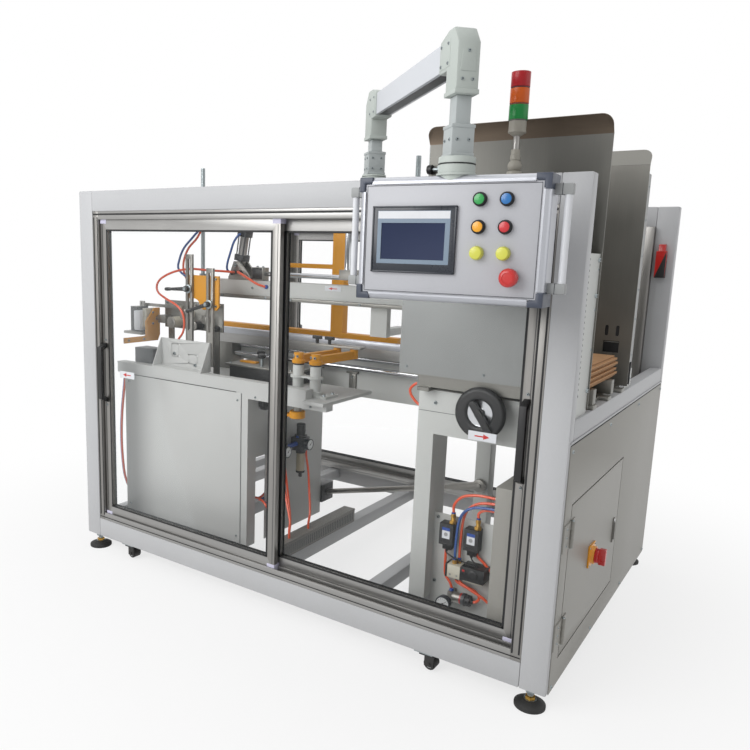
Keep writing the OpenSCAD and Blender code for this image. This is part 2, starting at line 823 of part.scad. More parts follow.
// Filter regulator on the end of the worktable: bowl, body, gauge and knob
filter_y = [290, 435];
filter_z = table_z - 312;
filter_body = [12, 62];
filter_body_z = [50, 103];
module filter_unit(y) {
  axis = (filter_body[0] + filter_body[1]) / 2;
  translate([table_x1, y, filter_z]) {
    bar([0, filter_body[0]], [-16, 16], [55, 98]);
    bar(filter_body, [-24, 24], filter_body_z);
    rod_z(axis, 0, [-42, filter_body_z[0]], 34);
    rod_z(axis, 0, [-60, -42], 14);
    rod_z(axis, 0, [filter_body_z[1], filter_body_z[1] + 8], 50);
    rod_z(axis, 0, [filter_body_z[1] + 8, 155], 36);
    rod_x([filter_body[1], filter_body[1] + 20], 0, 78, 42);
  }
}

module pneumatic_units() {
  color("dimgray") place() {
    valve_set();
    for (y = filter_y) filter_unit(y);
    rod_y(table_x1 + filter_body[1] / 2, [filter_y[0] + 24, filter_y[1] - 24], filter_z + 78, 18);
  }
}

// Conveyor: channel, round guides, their back sheet and a deep side beam from table to pedestal
module conveyor_rails() {
  x0 = 300;
  y = 600;
  color("silver") place() {
    bar([x0, x0 + 10], [y - 60, y + 20], [table_z, table_z + 172]);
    bar([pedestal_x0 - 10, pedestal_x0], [y - 60, y + 20], [table_z + 20, table_z + 172]);
    bar([x0 + 10, pedestal_x0 - 10], [y - 20, y], [table_z + 128, table_z + 165]);
    bar([table_x1, pedestal_x0], [y, y + 20], [table_z - 51, table_z + 46]);
    bar([x0 + 10, pedestal_x0 - 10], [y, y + 4], [table_z + 40, table_z + 132]);
    rod_x([x0 + 10, pedestal_x0 - 10], y - 10, table_z + 104, 22);
    rod_x([x0 + 10, pedestal_x0 - 10], y - 40, table_z + 69, 22);
  }
}

// Yellow gantry behind the path: two feet, a long beam, a post and the bar it carries
module gantry() {
  y = [gantry_y0, gantry_y0 + gantry_s];
  color("gold") place() {
    for (x = gantry_x)
      bar([x - 20, x + 20], y, [floor_z, gantry_z]);
    bar([gantry_x[0] - 20, gantry_x1], y, [gantry_z, gantry_z + gantry_h]);
    bar([portal_x[1], portal_x[1] + portal_w], y, [gantry_z + gantry_h, open_z1]);
    bar([portal_x[0], portal_x[1]], y, [portal_z, portal_z + 18]);
    bar([portal_x[0], portal_x[0] + 20], y, [portal_z - 60, portal_z]);
  }
}

// Forming beam: channel on its plate, and the stop that hangs at its magazine end
module upper_beam() {
  stop = [upper_x1 - 195, upper_x1 - 130];
  color("whitesmoke") place() {
    bar([upper_x0, upper_x1], [path_y - 50, path_y + 50], [beam_z, beam_z + upper_plate_t]);
    bar([upper_x0, upper_x1], [path_y - 30, path_y + 30], [beam_z + upper_plate_t, upper_z1]);
    bar(stop, [path_y - 14, path_y + 13], [beam_z - 104, beam_z]);
    bar([stop[0] + 15, stop[1] - 10], [path_y + 13, path_y + 160], [beam_z - 102, beam_z - 77]);
  }
}

// Rod along a line from one point to another
module rod_between(a, b, d) {
  v = b - a;
  translate(a) rotate([0, acos(v[2] / norm(v)), atan2(v[1], v[0])]) cylinder(h = norm(v), d = d);
}

// Threaded rods with their nuts, the slide rod in its clamp, and the tie rod with its eye
module threaded_rods() {
  tie = [[tie_x[0], tie_y, tie_z[0]], [tie_x[1], tie_y, tie_z[1]]];
  color("silver") place() {
    for (x = hang_x) {
      rod_z(x, path_y, [upper_z1, frame_h + 116], screw_d);
      for (z = [upper_z1, open_z1 - 6])
        translate([x, path_y, z]) cylinder(h = 16, d = 30, $fn = 6);
      translate([x, path_y, open_z1 + 60]) cylinder(h = 14, d = 30, $fn = 6);
    }
    rod_x([stop_x[1], clamp_x[0]], path_y, slide_z, slide_d);
    bar(clamp_x, [path_y - 25, path_y + 25], clamp_z);
    rod_z(guide_x, path_y, [clamp_z[1], open_z1 + 10], guide_d);
    difference() {
      rod_between(tie[0], tie[1], tie_d);
      bar([tie_x[0] - 20, tie_x[0]], [tie_y - 20, tie_y + 20], [tie_z[0] - 20, tie_z[0] + 20]);
    }
    rod_between(tie[1] - 0.16 * (tie[1] - tie[0]), tie[1], tie_d + 8);
    rod_y(tie_x[1], [tie_y - 10, tie_y + 10], tie_z[1], 48);
    rod_y(tie_x[1], [tie_y - 16, tie_y + 18], tie_z[1], 20);
  }
}

// Press cylinder in its clevis on the forming beam
module press_cylinder() {
  cheek = [[-40, 12], [66, 12], [14, press_z + 16], [-14, press_z + 16]];
  translate([press_x, path_y, upper_z1]) {
    bar([-42, 72], [-28, 28], [0, 12]);
    for (y = [-20, 28])
      translate([0, y, 0]) rotate([90, 0, 0]) linear_extrude(8) polygon(cheek);
    translate([0, 0, press_z]) {
      rod_y(0, [-32, 32], 0, 14);
      rotate([0, press_lean, 0]) {
        cylinder(h = 148, d = 34);
        translate([0, 0, -16]) cylinder(h = 20, d = 24);
        for (z = [18, 112])
          bar([-21, 21], [-22, 22], [z, z + 24]);
        for (u = [-16, 16], v = [-16, 16])
          rod_z(u, v, [42, 112], 5);
      }
    }
  }
  bar(stop_x, [path_y - 20, path_y + 20], [upper_z1, slide_z + 24]);
}

// Sensor head on a rod beside the guard: base, three housings and the strap above them
module sensor_head() {
  x0 = rig_x - 112;
  rod_x([x0 + 10, head_x[0]], rig_y, rig_z, rig_d);
  bar([x0, rig_x - 4], [rig_y - 75, rig_y + 17], [rig_z - 66, rig_z - 56]);
  bar([x0 + 10, x0 + 48], [rig_y - 45, rig_y + 17], [rig_z - 56, rig_z + 45]);
  bar([x0 + 48, x0 + 82], [rig_y - 60, rig_y + 17], [rig_z - 50, rig_z + 30]);
  bar([x0 + 82, x0 + 104], [rig_y - 45, rig_y + 17], [rig_z - 36, rig_z + 40]);
  bar([x0 + 16, x0 + 240], [rig_y + 13, head_y], [rig_z + 45, rig_z + 57]);
  for (x = [x0 + 24, x0 + 40])
    rod_z(x, rig_y, [rig_z + 45, rig_z + 66], 12);
}

// Taping head: plate on two legs with its rollers, and the drive below it
module taping_head() {
  top = rig_z + 77;
  bottom = rig_z - 35;
  bar(head_x, [head_y, head_y + head_plate_t], [bottom, top]);
  for (x = [head_x[0] + 20, head_x[1] - 50])
    bar([x, x + 30], [head_y, head_y + head_plate_t], [table_z, bottom]);
  bar([head_x[0], head_x[0] + 42], [rig_y - 14, head_y], [rig_z - 16, rig_z + 16]);
  for (r = [[80, 26, 44], [150, 62, 40], [205, 20, 34], [262, 48, 30], [296, 14, 22]])
    rod_y(head_x[0] + r[0], [head_y - 46, head_y], bottom + r[1], r[2]);
  bar([head_x[0] - 100, head_x[0] + 30], [head_y - 95, head_y - 10], [table_z, table_z + 18]);
  bar([head_x[0] - 90, head_x[0] + 18], [head_y - 85, head_y - 20], [table_z + 18, table_z + 100]);
}

module actuators() {
  color("silver") place() {
    press_cylinder();
    sensor_head();
    taping_head();
    bar([tie_x[0] - 95, tie_x[0]], [table_y1, tie_y + 42], [tie_z[0] - 38, tie_z[0] + 37]);
  }
}

module flap_columns() {
  color("gainsboro") place() for (c = [rear_column, front_column])
    translate([c[0], c[1], shelf_z1]) {
      cylinder(h = 16, d = column_d + 8);
      cylinder(h = column_h, d = column_d);
      translate([0, 0, column_tie]) cylinder(h = 8, d = column_d + 16);
    }
  color("gainsboro") place() translate([front_column[0], front_column[1], shelf_z1 + column_tie])
    rotate([0, 0, atan2(rear_column[1] - front_column[1], rear_column[0] - front_column[0])])
      bar([0, norm(rear_column - front_column)], [4 - column_d / 2, column_d / 2 - 4], [1, 7]);
  color("gainsboro") place()
    bar([rear_column[0] - 38, front_column[0] + 62], [front_column[1] - 26, front_column[1] + 52],
        [shelf_z1, shelf_z1 + 8]);
}

// Flap arm about its column: flanged eye, tapered web on its lower flange, and pin end
module flap_taper(w0, w1, h) {
  linear_extrude(h) polygon([[0, -w0 / 2], [flap_reach, -w1 / 2], [flap_reach, w1 / 2], [0, w0 / 2]]);
}

module flap_arm(column) {
  color("gold") place() translate([column[0], column[1], flap_z]) rotate([0, 0, flap_angle]) {
    cylinder(h = 12, d = flap_foot);
    cylinder(h = flap_h, d = flap_eye);
    flap_taper(flap_eye - 4, flap_tip - 6, 7);
    flap_taper(flap_eye - 12, flap_tip - 14, flap_h - 8);
    translate([flap_reach, 0, 0]) cylinder(h = flap_h, d = flap_tip);
  }
}

module front_flap_arm() { flap_arm(front_column); }
module rear_flap_arm() { flap_arm(rear_column); }

// Bar that the two arms swing without turning it, with two clamping knobs
module flap_bar() {
  tip = flap_reach * [cos(flap_angle), sin(flap_angle)];
  gap = rear_column - front_column;
  span = norm(gap);
  color("silver") place()
    translate([front_column[0] + tip[0], front_column[1] + tip[1], flap_z + flap_h + seat])
    rotate([0, 0, atan2(gap[1], gap[0])]) {
      bar([-35, span + knob_at[1] + 16], [-20, 20], [0, 8]);
      for (x = knob_at) {
        rod_z(span + x, 0, [8, 24], 14);
        bar([span + x - 18, span + x + 18], [-7, 7], [24, 36]);
      }
    }
}

// Slotted posts behind the guard, each with a clamping lever
module slotted_post(x, top) {
  difference() {
    bar([x - 17, x + 17], [guard_y1, guard_y1 + form_post_t], [rail_z1 + 20, top]);
    bar([x - 6, x + 6], [guard_y1 - 1, guard_y1 + form_post_t + 1], [guard_z1 + 40, top - 18]);
  }
}

module clamp_lever(x, z, droop) {
  rod_y(x, [guard_y1 - 6, guard_y1], z, 30);
  rod_y(x, [guard_y1 - 22, guard_y1 - 6], z, 22);
  translate([x, guard_y1 - 14, z]) rotate([0, -90 - droop, 0]) cylinder(h = 112, d1 = 17, d2 = 9);
}

module forming_posts() {
  color("silver") place() {
    for (p = form_post) slotted_post(p[0], p[1]);
    clamp_lever(form_post[0][0], form_post[0][1] - 131, 3);
    clamp_lever(form_post[1][0], form_post[1][1] - 135, 17);
  }
}

// Yellow plate with a rounded notch behind the posts, and the cranked plate on the sensor rod
module forming_brackets() {
  x = [form_post[0][0] - 27, form_post[1][0] + 37];
  z = [form_post[1][1] - 158, form_post[1][1] - 29];
  notch = [form_post[1][0] - 57, z[0] + 40];
  r = 33;
  plate = concat(
    [[x[0], z[1]], [x[0], notch[1]]],
    [for (a = [90:-15:0]) notch + r * [cos(a) - 1, sin(a) - 1]],
    [[notch[0], z[0] + 12], [notch[0] + 12, z[0]], [x[1] - 12, z[0]], [x[1], z[0] + 12], [x[1], z[1]]]
  );
  crank = [
    [rig_y - 175, rig_z - 92], [rig_y + 3, rig_z - 92], [rig_y + 15, rig_z - 67], [rig_y + 15, rig_z + 43],
    [rig_y - 13, rig_z + 43], [rig_y - 60, rig_z - 10], [rig_y - 60, rig_z - 67], [rig_y - 70, rig_z - 70],
    [rig_y - 175, rig_z - 70]
  ];
  color("gold") place() {
    translate([0, guard_y1 + form_post_t + form_plate_t, 0]) rotate([90, 0, 0])
      linear_extrude(form_plate_t) polygon(plate);
    difference() {
      translate([rig_x, 0, 0]) rotate([90, 0, 90]) linear_extrude(form_plate_t) polygon(crank);
      rod_x([rig_x - 1, rig_x + form_plate_t + 1], rig_y, rig_z, rig_d + 2 * seat);
    }
  }
}

// Air hose swept along a smooth curve through its points
hose_d = 9;
hose_sides = 8;
hose_steps = 4;
function unit(v) = v / norm(v);
function square_to(v) =
  let (m = max([for (c = v) abs(c)])) unit([for (c = v) abs(c) > 0.99 * m ? c : 0]);
function across(v) = abs(v[2]) < 0.9 * norm(v) ? unit(cross(v, [0, 0, 1])) : unit(cross(v, [1, 0, 0]));
function curve(a, b, c, d, t) =
  0.5 * (2 * b + (c - a) * t + (2 * a - 5 * b + 4 * c - d) * t * t + (3 * b - a - 3 * c + d) * t * t * t);

module hose(p, d = hose_d) {
  n = len(p) - 1;
  ends = concat([2 * p[0] - p[1]], p, [2 * p[n] - p[n - 1]]);
  path = concat(
    [for (i = [0:n - 1], k = [0:hose_steps - 1])
      curve(ends[i], ends[i + 1], ends[i + 2], ends[i + 3], k / hose_steps)],
    [p[n]]
  );
  m = len(path) - 1;
  way = [for (j = [0:m])
    j == 0 ? square_to(p[1] - p[0]) : j == m ? square_to(p[n] - p[n - 1]) : unit(path[j + 1] - path[j - 1])];
  side = [for (j = 0, u = across(way[0]); j <= m;
               j = j + 1, u = j > m ? u : unit(u - way[j] * (u * way[j]))) u];
  rings = [for (j = [0:m], k = [0:hose_sides - 1])
    let (a = 360 * k / hose_sides)
      path[j] + d / 2 * (cos(a) * side[j] + sin(a) * cross(way[j], side[j]))];
  walls = [for (j = [0:m - 1], k = [0:hose_sides - 1])
    let (q = (k + 1) % hose_sides, s = j * hose_sides)
      [s + k, s + hose_sides + k, s + hose_sides + q, s + q]];
  caps = [
    [for (k = [0:hose_sides - 1]) k],
    [for (k = [0:hose_sides - 1]) m * hose_sides + hose_sides - 1 - k]
  ];
  polyhedron(rings, concat(walls, caps), convexity = 6);
}

// Hoses at the valve plate, from each fitting to the cabinet wall or the next fitting
module valve_hoses() {
  y = valve_y - 18;
  end = valve_x1 - valve_x0;
  stem = [for (x = switch_at) x + 14];
  stem_z = switch_up + switch_stem;
  top = solenoid_z[1];
  translate([valve_x0, 0, floor_z]) {
    hose([[stem[0], y, stem_z], [stem[0] + 1, y, stem_z + 30], [98, y, 358],
          [145, y, 372], [200, y, 374], [end, y, 372]]);
    hose([[100, y, top], [100, y, top + 70], [108, y, 300], [142, y, 342], [195, y, 356], [end, y, 356]]);
    hose([[90, y - 12, top], [90, y - 12, top + 70], [98, y - 12, 290], [130, y - 12, 330],
          [192, y - 12, 343], [end, y - 12, 342]]);
    hose([[stem[1], y, stem_z], [stem[1], y, stem_z + 20], [176, y, 331], [212, y, 333], [end, y, 332]]);
    hose([[98, y - 6, solenoid_z[0]], [98, y - 6, 80], [124, y - 6, 70], [160, y - 6, 64],
          [176, y - 6, 46], [166, y - 6, 29], [149, y - 6, 26]]);
    hose([[switch_at[0] - 4, y, switch_up - 16], [switch_at[0] - 4, y, 130], [56, y, 90],
          [74, y, 66], [83, y, 44]]);
  }
}

// Hoses from the filters down into the wire duct
module filter_hoses() {
  x = table_x1 + filter_body[1] - 8;
  z = filter_z + filter_body_z[0];
  low = floor_z + duct_h;
  for (h = [[filter_y[0] + 14, 235, -13], [filter_y[0] - 14, 212, 4], [filter_y[1] + 14, 336, 3]])
    let (end_x = duct_x + h[2], dy = h[0] - h[1])
      hose([[x, h[0], z], [x + 1, h[0], z - 24], [x + 0.25 * (end_x - x), h[0] - 0.15 * dy, z - 80],
            [x + 0.65 * (end_x - x), h[0] - 0.55 * dy, z - 150], [end_x - 2, h[1] + 0.1 * dy, low + 62],
            [end_x, h[1], low + 24], [end_x, h[1], low]]);
}

// Hoses of the forming beam: a pair from the roof, the press lines and the loop to the table
module beam_hoses() {
  face = path_y - 30;
  roof = [hang_x[0] + beam_w / 2, open_z1 + 35];
  cheek = path_y - 28;
  press = press_x;
  for (k = [[0, 0, 250], [14, -12, 276]])
    hose([[roof[0], path_y - 70 - k[0], roof[1] + k[1]], [roof[0] + 30, path_y - 70 - k[0], roof[1] - 8 + k[1]],
          [roof[0] + 40, path_y - 70 - k[0], 1345 + k[1]], [306 + k[1], path_y - 70 - k[0], 1292],
          [258 + k[1], path_y - 70 - k[0], 1250], [232 + k[1], path_y - 70 - k[0], 1205],
          [228 + k[1], path_y - 70 - k[0], 1160], [k[2] - 8, face - 30, 1118], [k[2], face, 1112]]);
  hose([[press - 5, cheek, 1160], [press - 5, cheek - 22, 1161], [press - 40, cheek - 40, 1163],
        [366, cheek - 46, 1164], [300, cheek - 74, 1167], [245, 264, 1155], [186, 250, 1128], [160, 247, 1098],
        [168, 246, 1069], [209, 246, 1047], [267, 246, 1025], [301, 246, 999], [314, 246, 960],
        [306, 246, 917], [272, 248, 878], [250, 252, 836], [248, 254, 780], [248, 254, table_z]]);
  hose([[press + 22, cheek, 1162], [press + 24, cheek - 20, 1162], [530, cheek - 30, 1154],
        [566, cheek - 32, 1138], [602, cheek - 26, 1120], [625, cheek - 14, 1112], [630, face, 1110]]);
  hose([[press + 20, path_y - 22, 1306], [press + 19, path_y - 38, 1304], [476, path_y - 46, 1276],
        [460, path_y - 46, 1238], [444, path_y - 46, 1195], [446, path_y - 48, 1168], [456, cheek, 1156]]);
}

// Hairpin of hose from the pedestal's head to the bed above it
module bed_hose() {
  x = pedestal_x0;
  y = path_y - 166;
  hose([[x, y, 770], [x - 22, y, 776], [x - 48, y, 800], [x - 54, y, 822], [x - 34, y, sill_z + 4],
        [x - 14, y, sill_z + bed_t / 2], [x, y, sill_z + bed_t / 2]]);
}

module air_hoses() {
  color("tomato") place() {
    valve_hoses();
    filter_hoses();
    beam_hoses();
    bed_hose();
  }
}

module wire_duct() {
  color("gray") place() bar([duct_x - 25, duct_x + 25], [120, 640], [floor_z, floor_z + duct_h]);
}

module safety_switch() {
  y1 = frame_w - post_d;
  z = frame_h - 265;
  color("black") place() {
    bar([frame_l - 60, frame_l - 24], [y1 - 26, y1], [z, z + 100]);
    bar([frame_l - 54, frame_l - 30], [y1 - 22, y1], [z + 100, z + 125]);
  }
}

corner_posts();
long_rails();
side_rails();
cross_beams();
door_tracks();
door_guides();
door_jambs();
front_left_door();
front_left_pane();
front_left_handle();
front_right_door();
front_right_pane();
front_right_handle();
rear_left_door();
rear_left_pane();
rear_left_handle();
rear_right_door();
rear_right_pane();
rear_right_handle();
levelling_feet();
casters();
end_panel();
cabinet_shell();
cabinet_door();
cabinet_latch();
switch_plate();
switch_knob();
magazine_plates();
magazine_angles();
magazine_bed();
carton_blanks();
tower_light();
arm_base();
arm_elbows();
arm_tubes();
panel_box();
panel_caps();
panel_handles();
touch_screen();
push_buttons();
worktable();
pedestal();
handwheel();
pneumatic_units();
conveyor_rails();
gantry();
upper_beam();
threaded_rods();
actuators();
flap_columns();
front_flap_arm();
rear_flap_arm();
flap_bar();
forming_posts();
forming_brackets();
air_hoses();
wire_duct();
safety_switch();
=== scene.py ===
import logging
import math
from dataclasses import dataclass
from enum import Enum
from typing import Callable, Iterable, Optional, Sequence

import bmesh
import bpy
from mathutils import Matrix, Vector


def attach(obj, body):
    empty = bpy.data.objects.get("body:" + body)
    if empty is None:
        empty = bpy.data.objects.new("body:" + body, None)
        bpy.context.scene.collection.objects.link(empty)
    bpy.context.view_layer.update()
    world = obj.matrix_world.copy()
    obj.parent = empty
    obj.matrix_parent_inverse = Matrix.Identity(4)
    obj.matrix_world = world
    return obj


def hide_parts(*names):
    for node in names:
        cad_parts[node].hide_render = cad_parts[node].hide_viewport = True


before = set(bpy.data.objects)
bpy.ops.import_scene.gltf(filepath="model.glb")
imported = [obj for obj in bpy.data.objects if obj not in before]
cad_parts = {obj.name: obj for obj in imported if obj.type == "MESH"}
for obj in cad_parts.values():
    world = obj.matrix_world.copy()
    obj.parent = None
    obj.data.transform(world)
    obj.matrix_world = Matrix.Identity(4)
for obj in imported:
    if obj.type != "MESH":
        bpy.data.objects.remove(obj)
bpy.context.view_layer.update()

log = logging.getLogger("case_erector")

Pair = tuple[float, float]
Triple = tuple[float, float, float]
Spot = tuple[Triple, Triple]
Socket = bpy.types.NodeSocket
Feeds = dict[object, object]

# Directions of the machine, as seen from its front
LEFT: Triple = (-1, 0, 0)
RIGHT: Triple = (1, 0, 0)
FRONT: Triple = (0, -1, 0)
REAR: Triple = (0, 1, 0)
DOWN: Triple = (0, 0, -1)
UP: Triple = (0, 0, 1)

# The part's origin, in millimetres from the front left corner of the frame
ORIGIN = Vector((973.0, 504.87, 24.0))
METRE = 0.001
SHARP_ANGLE = math.radians(38)


def at(x: float, y: float, z: float) -> Vector:
    """Place a point.

    Args:
        x, y, z: millimetres along the frame, from its front left corner and its datum.

    Returns:
        The same point in metres, in the part's own frame.
    """
    return (Vector((x, y, z)) - ORIGIN) * METRE


def linear(rgb: Sequence[int]) -> tuple[float, ...]:
    """Turn an 8-bit display colour into the linear colour that shaders take.

    Args:
        rgb: red, green and blue from 0 to 255.

    Returns:
        Linear red, green, blue and an alpha of one.
    """
    def channel(value: float) -> float:
        """Undo the display curve of one channel."""
        v = value / 255
        return v / 12.92 if v <= 0.04045 else ((v + 0.055) / 1.055) ** 2.4

    r, g, b = (channel(c) for c in rgb)
    return r, g, b, 1.0


class Look(Enum):
    """Kinds of surface that the finishes are built from."""

    PAINT = "powder coat with a fine orange peel"
    STREAK = "drawn or brushed metal"
    PLASTIC = "moulded plastic with a fine grain"
    PANE = "clear sheet"
    LENS = "clear coloured lens"
    BOARD = "corrugated board"
    DISPLAY = "dark display"
    DIAL = "printed gauge face"


@dataclass(frozen=True)
class Finish:
    """One surface finish.

    The streak is the stretch of the pattern along X, Y and Z; a small number
    draws the pattern out along that axis.
    """

    name: str
    look: Look
    colour: tuple[int, int, int]
    rough: float = 0.45
    metal: float = 0.0
    coat: float = 0.0
    grain: float = 0.25
    mottle: float = 0.04
    streak: Triple = (1.0, 1.0, 1.0)
    specular: float = 0.5


class Finishes:
    """All finishes of the machine, named for what they are on."""

    FRAME = Finish("frame_paint", Look.PAINT, (182, 183, 185), 0.46, grain=0.22)
    WHITE = Finish("white_paint", Look.PAINT, (190, 192, 189), 0.44, grain=0.22)
    TABLE = Finish("table_paint", Look.PAINT, (184, 185, 183), 0.44, grain=0.22)
    YELLOW = Finish("yellow_paint", Look.PAINT, (208, 142, 18), 0.46, coat=0.05, grain=0.18, specular=0.3)
    # Darker copy of the frame paint for the right end: painted shade of the side turned away from the front
    # light
    SHADED_SIDE = Finish("shaded_side_paint", Look.PAINT, (144, 142, 136), 0.46, grain=0.22)
    TUBE = Finish("tube_paint", Look.PAINT, (168, 174, 174), 0.42, grain=0.2)
    BEAM = Finish("beam_paint", Look.PAINT, (200, 203, 208), 0.42, grain=0.2)
    PANEL = Finish("panel_paint", Look.PAINT, (180, 181, 186), 0.42, grain=0.15)
    CAST = Finish("cast_paint", Look.PAINT, (178, 185, 180), 0.5, grain=0.4)
    ALU_X = Finish("aluminium_x", Look.STREAK, (156, 155, 153), 0.36, 0.82, streak=(0.03, 1, 1))
    ALU_Z = Finish("aluminium_z", Look.STREAK, (142, 140, 137), 0.36, 0.82, streak=(1, 1, 0.03))
    ALU_PALE = Finish("aluminium_pale", Look.STREAK, (180, 182, 188), 0.34, 0.6, streak=(0.05, 1, 1))
    STAINLESS = Finish("stainless_sheet", Look.STREAK, (126, 125, 120), 0.42, 0.85, streak=(1, 1, 0.025))
    LIP = Finish("stainless_lip", Look.STREAK, (104, 92, 80), 0.4, 0.8, streak=(0.03, 1, 1))
    APRON = Finish("stainless_apron", Look.STREAK, (134, 136, 135), 0.4, 0.7, streak=(0.03, 1, 1))
    CHROME = Finish("ground_steel", Look.STREAK, (198, 200, 203), 0.16, 1.0, streak=(0.1, 1, 1), mottle=0.02)
    STEEL = Finish("dull_steel", Look.STREAK, (138, 136, 131), 0.4, 0.85, streak=(1, 1, 0.06))
    ZINC = Finish("zinc_plate", Look.STREAK, (150, 158, 160), 0.34, 0.9, streak=(1, 1, 1), mottle=0.1)
    BRASS = Finish("brass", Look.STREAK, (190, 148, 72), 0.3, 0.9, streak=(1, 1, 1))
    BLACK = Finish("black_plastic", Look.PLASTIC, (24, 24, 25), 0.42, grain=0.35, mottle=0.12)
    SEAL = Finish("black_seal", Look.PLASTIC, (14, 15, 17), 0.6, grain=0.3, mottle=0.1)
    RUBBER = Finish("foot_rubber", Look.PLASTIC, (34, 34, 33), 0.66, grain=0.5, mottle=0.15)
    GREY = Finish("grey_plastic", Look.PLASTIC, (150, 152, 152), 0.5, grain=0.3)
    DUCT = Finish("duct_plastic", Look.PLASTIC, (118, 116, 111), 0.55, grain=0.3)
    SLATE = Finish("slate_plastic", Look.PLASTIC, (62, 68, 82), 0.4, grain=0.3, mottle=0.06)
    DARK = Finish("dark_housing", Look.PLASTIC, (58, 60, 63), 0.45, grain=0.3, mottle=0.08)
    BEIGE = Finish("beige_plastic", Look.PLASTIC, (150, 146, 136), 0.45, grain=0.2)
    BOWL = Finish("clear_bowl", Look.LENS, (172, 164, 140), 0.2, coat=0.4)
    CREAM = Finish("cream_plastic", Look.PLASTIC, (196, 192, 176), 0.42, grain=0.2)
    PALE = Finish("pale_plastic", Look.PLASTIC, (214, 216, 220), 0.4, grain=0.15)
    LILAC = Finish("corner_plastic", Look.PLASTIC, (198, 196, 216), 0.36, grain=0.15)
    ORANGE = Finish("orange_hose", Look.PLASTIC, (226, 84, 42), 0.32, coat=0.2, grain=0.05, mottle=0.06)
    BLUE = Finish("blue_hose", Look.PLASTIC, (36, 78, 146), 0.32, coat=0.2, grain=0.05, mottle=0.06)
    BLUE_TRIM = Finish("blue_plastic", Look.PLASTIC, (30, 70, 150), 0.38, grain=0.15)
    RED = Finish("red_plastic", Look.PLASTIC, (190, 30, 26), 0.3, coat=0.3, grain=0.1)
    SIGN_YELLOW = Finish("yellow_plastic", Look.PLASTIC, (226, 152, 20), 0.32, coat=0.2, grain=0.1)
    PANE = Finish("clear_pane", Look.PANE, (236, 242, 243), 0.05)
    LAMP_RED = Finish("lamp_red", Look.LENS, (166, 16, 26), 0.34, coat=0.1, specular=0.3)
    LAMP_AMBER = Finish("lamp_amber", Look.LENS, (200, 86, 6), 0.34, coat=0.1, specular=0.3)
    LAMP_GREEN = Finish("lamp_green", Look.LENS, (2, 126, 54), 0.34, coat=0.1, specular=0.3)
    CAP_GREEN = Finish("cap_green", Look.LENS, (36, 156, 74), 0.28, coat=0.3)
    CAP_BLUE = Finish("cap_blue", Look.LENS, (24, 108, 176), 0.28, coat=0.3)
    CAP_AMBER = Finish("cap_amber", Look.LENS, (236, 164, 28), 0.28, coat=0.3)
    CAP_RED = Finish("cap_red", Look.LENS, (196, 34, 42), 0.28, coat=0.3)
    CAP_YELLOW = Finish("cap_yellow", Look.LENS, (206, 206, 76), 0.3, coat=0.3)
    BOARD = Finish("plain_board", Look.BOARD, (190, 146, 104), 0.85)
    DISPLAY = Finish("display", Look.DISPLAY, (46, 54, 80), 0.55, specular=0.12)
    BEZEL = Finish("bezel", Look.PLASTIC, (36, 41, 50), 0.3, grain=0.1)
    INNER = Finish("inner_frame", Look.PLASTIC, (116, 133, 150), 0.35, grain=0.05)
    DIAL = Finish("dial", Look.DIAL, (226, 228, 228), 0.3, coat=0.4)


class Links:
    """Adds nodes to one tree and feeds their inputs."""

    def __init__(self, tree: bpy.types.NodeTree) -> None:
        """Keep the tree that the nodes go into."""
        self.tree = tree

    def add(self, kind: str, feeds: Optional[Feeds] = None, **values: object) -> bpy.types.Node:
        """Add a node.

        Args:
            kind: the node's type name.
            feeds: what its inputs take, as for feed.
            values: its properties by name, set before the inputs.

        Returns:
            The new node.
        """
        node = self.tree.nodes.new(kind)
        for key, value in values.items():
            setattr(node, key, value)
        self.feed(node, feeds or {})
        return node

    def feed(self, node: bpy.types.Node, feeds: Feeds) -> None:
        """Feed a node.

        Args:
            node: the node.
            feeds: an output to follow or a fixed value, by the input's name or number.
        """
        for key, value in feeds.items():
            if isinstance(value, bpy.types.NodeSocket):
                self.tree.links.new(value, node.inputs[key])
            else:
                node.inputs[key].default_value = value

    def math(self, operation: str, *terms: object, clamp: bool = False) -> Socket:
        """Reckon with outputs and numbers."""
        feeds = dict(enumerate(terms))
        return self.add("ShaderNodeMath", feeds, operation=operation, use_clamp=clamp).outputs[0]

    def place(self) -> Socket:
        """Give the object's own coordinates."""
        return self.add("ShaderNodeTexCoord").outputs["Object"]

    def noise(self, where: Socket, scale: object, detail: float, rough: float = 0.5) -> Socket:
        """Give a noise pattern."""
        feeds = {"Vector": where, "Scale": scale, "Detail": detail, "Roughness": rough}
        return self.add("ShaderNodeTexNoise", feeds).outputs["Fac"]

    def mix(self, share: object, a: object, b: object, blend: str = "MIX") -> Socket:
        """Mix two colours."""
        feeds = {0: share, 6: a, 7: b}
        return self.add("ShaderNodeMix", feeds, data_type="RGBA", blend_type=blend).outputs[2]

    def bump(self, height: Socket, strength: object, distance: object) -> Socket:
        """Turn a height into a normal."""
        feeds = {"Height": height, "Strength": strength, "Distance": distance}
        return self.add("ShaderNodeBump", feeds).outputs["Normal"]


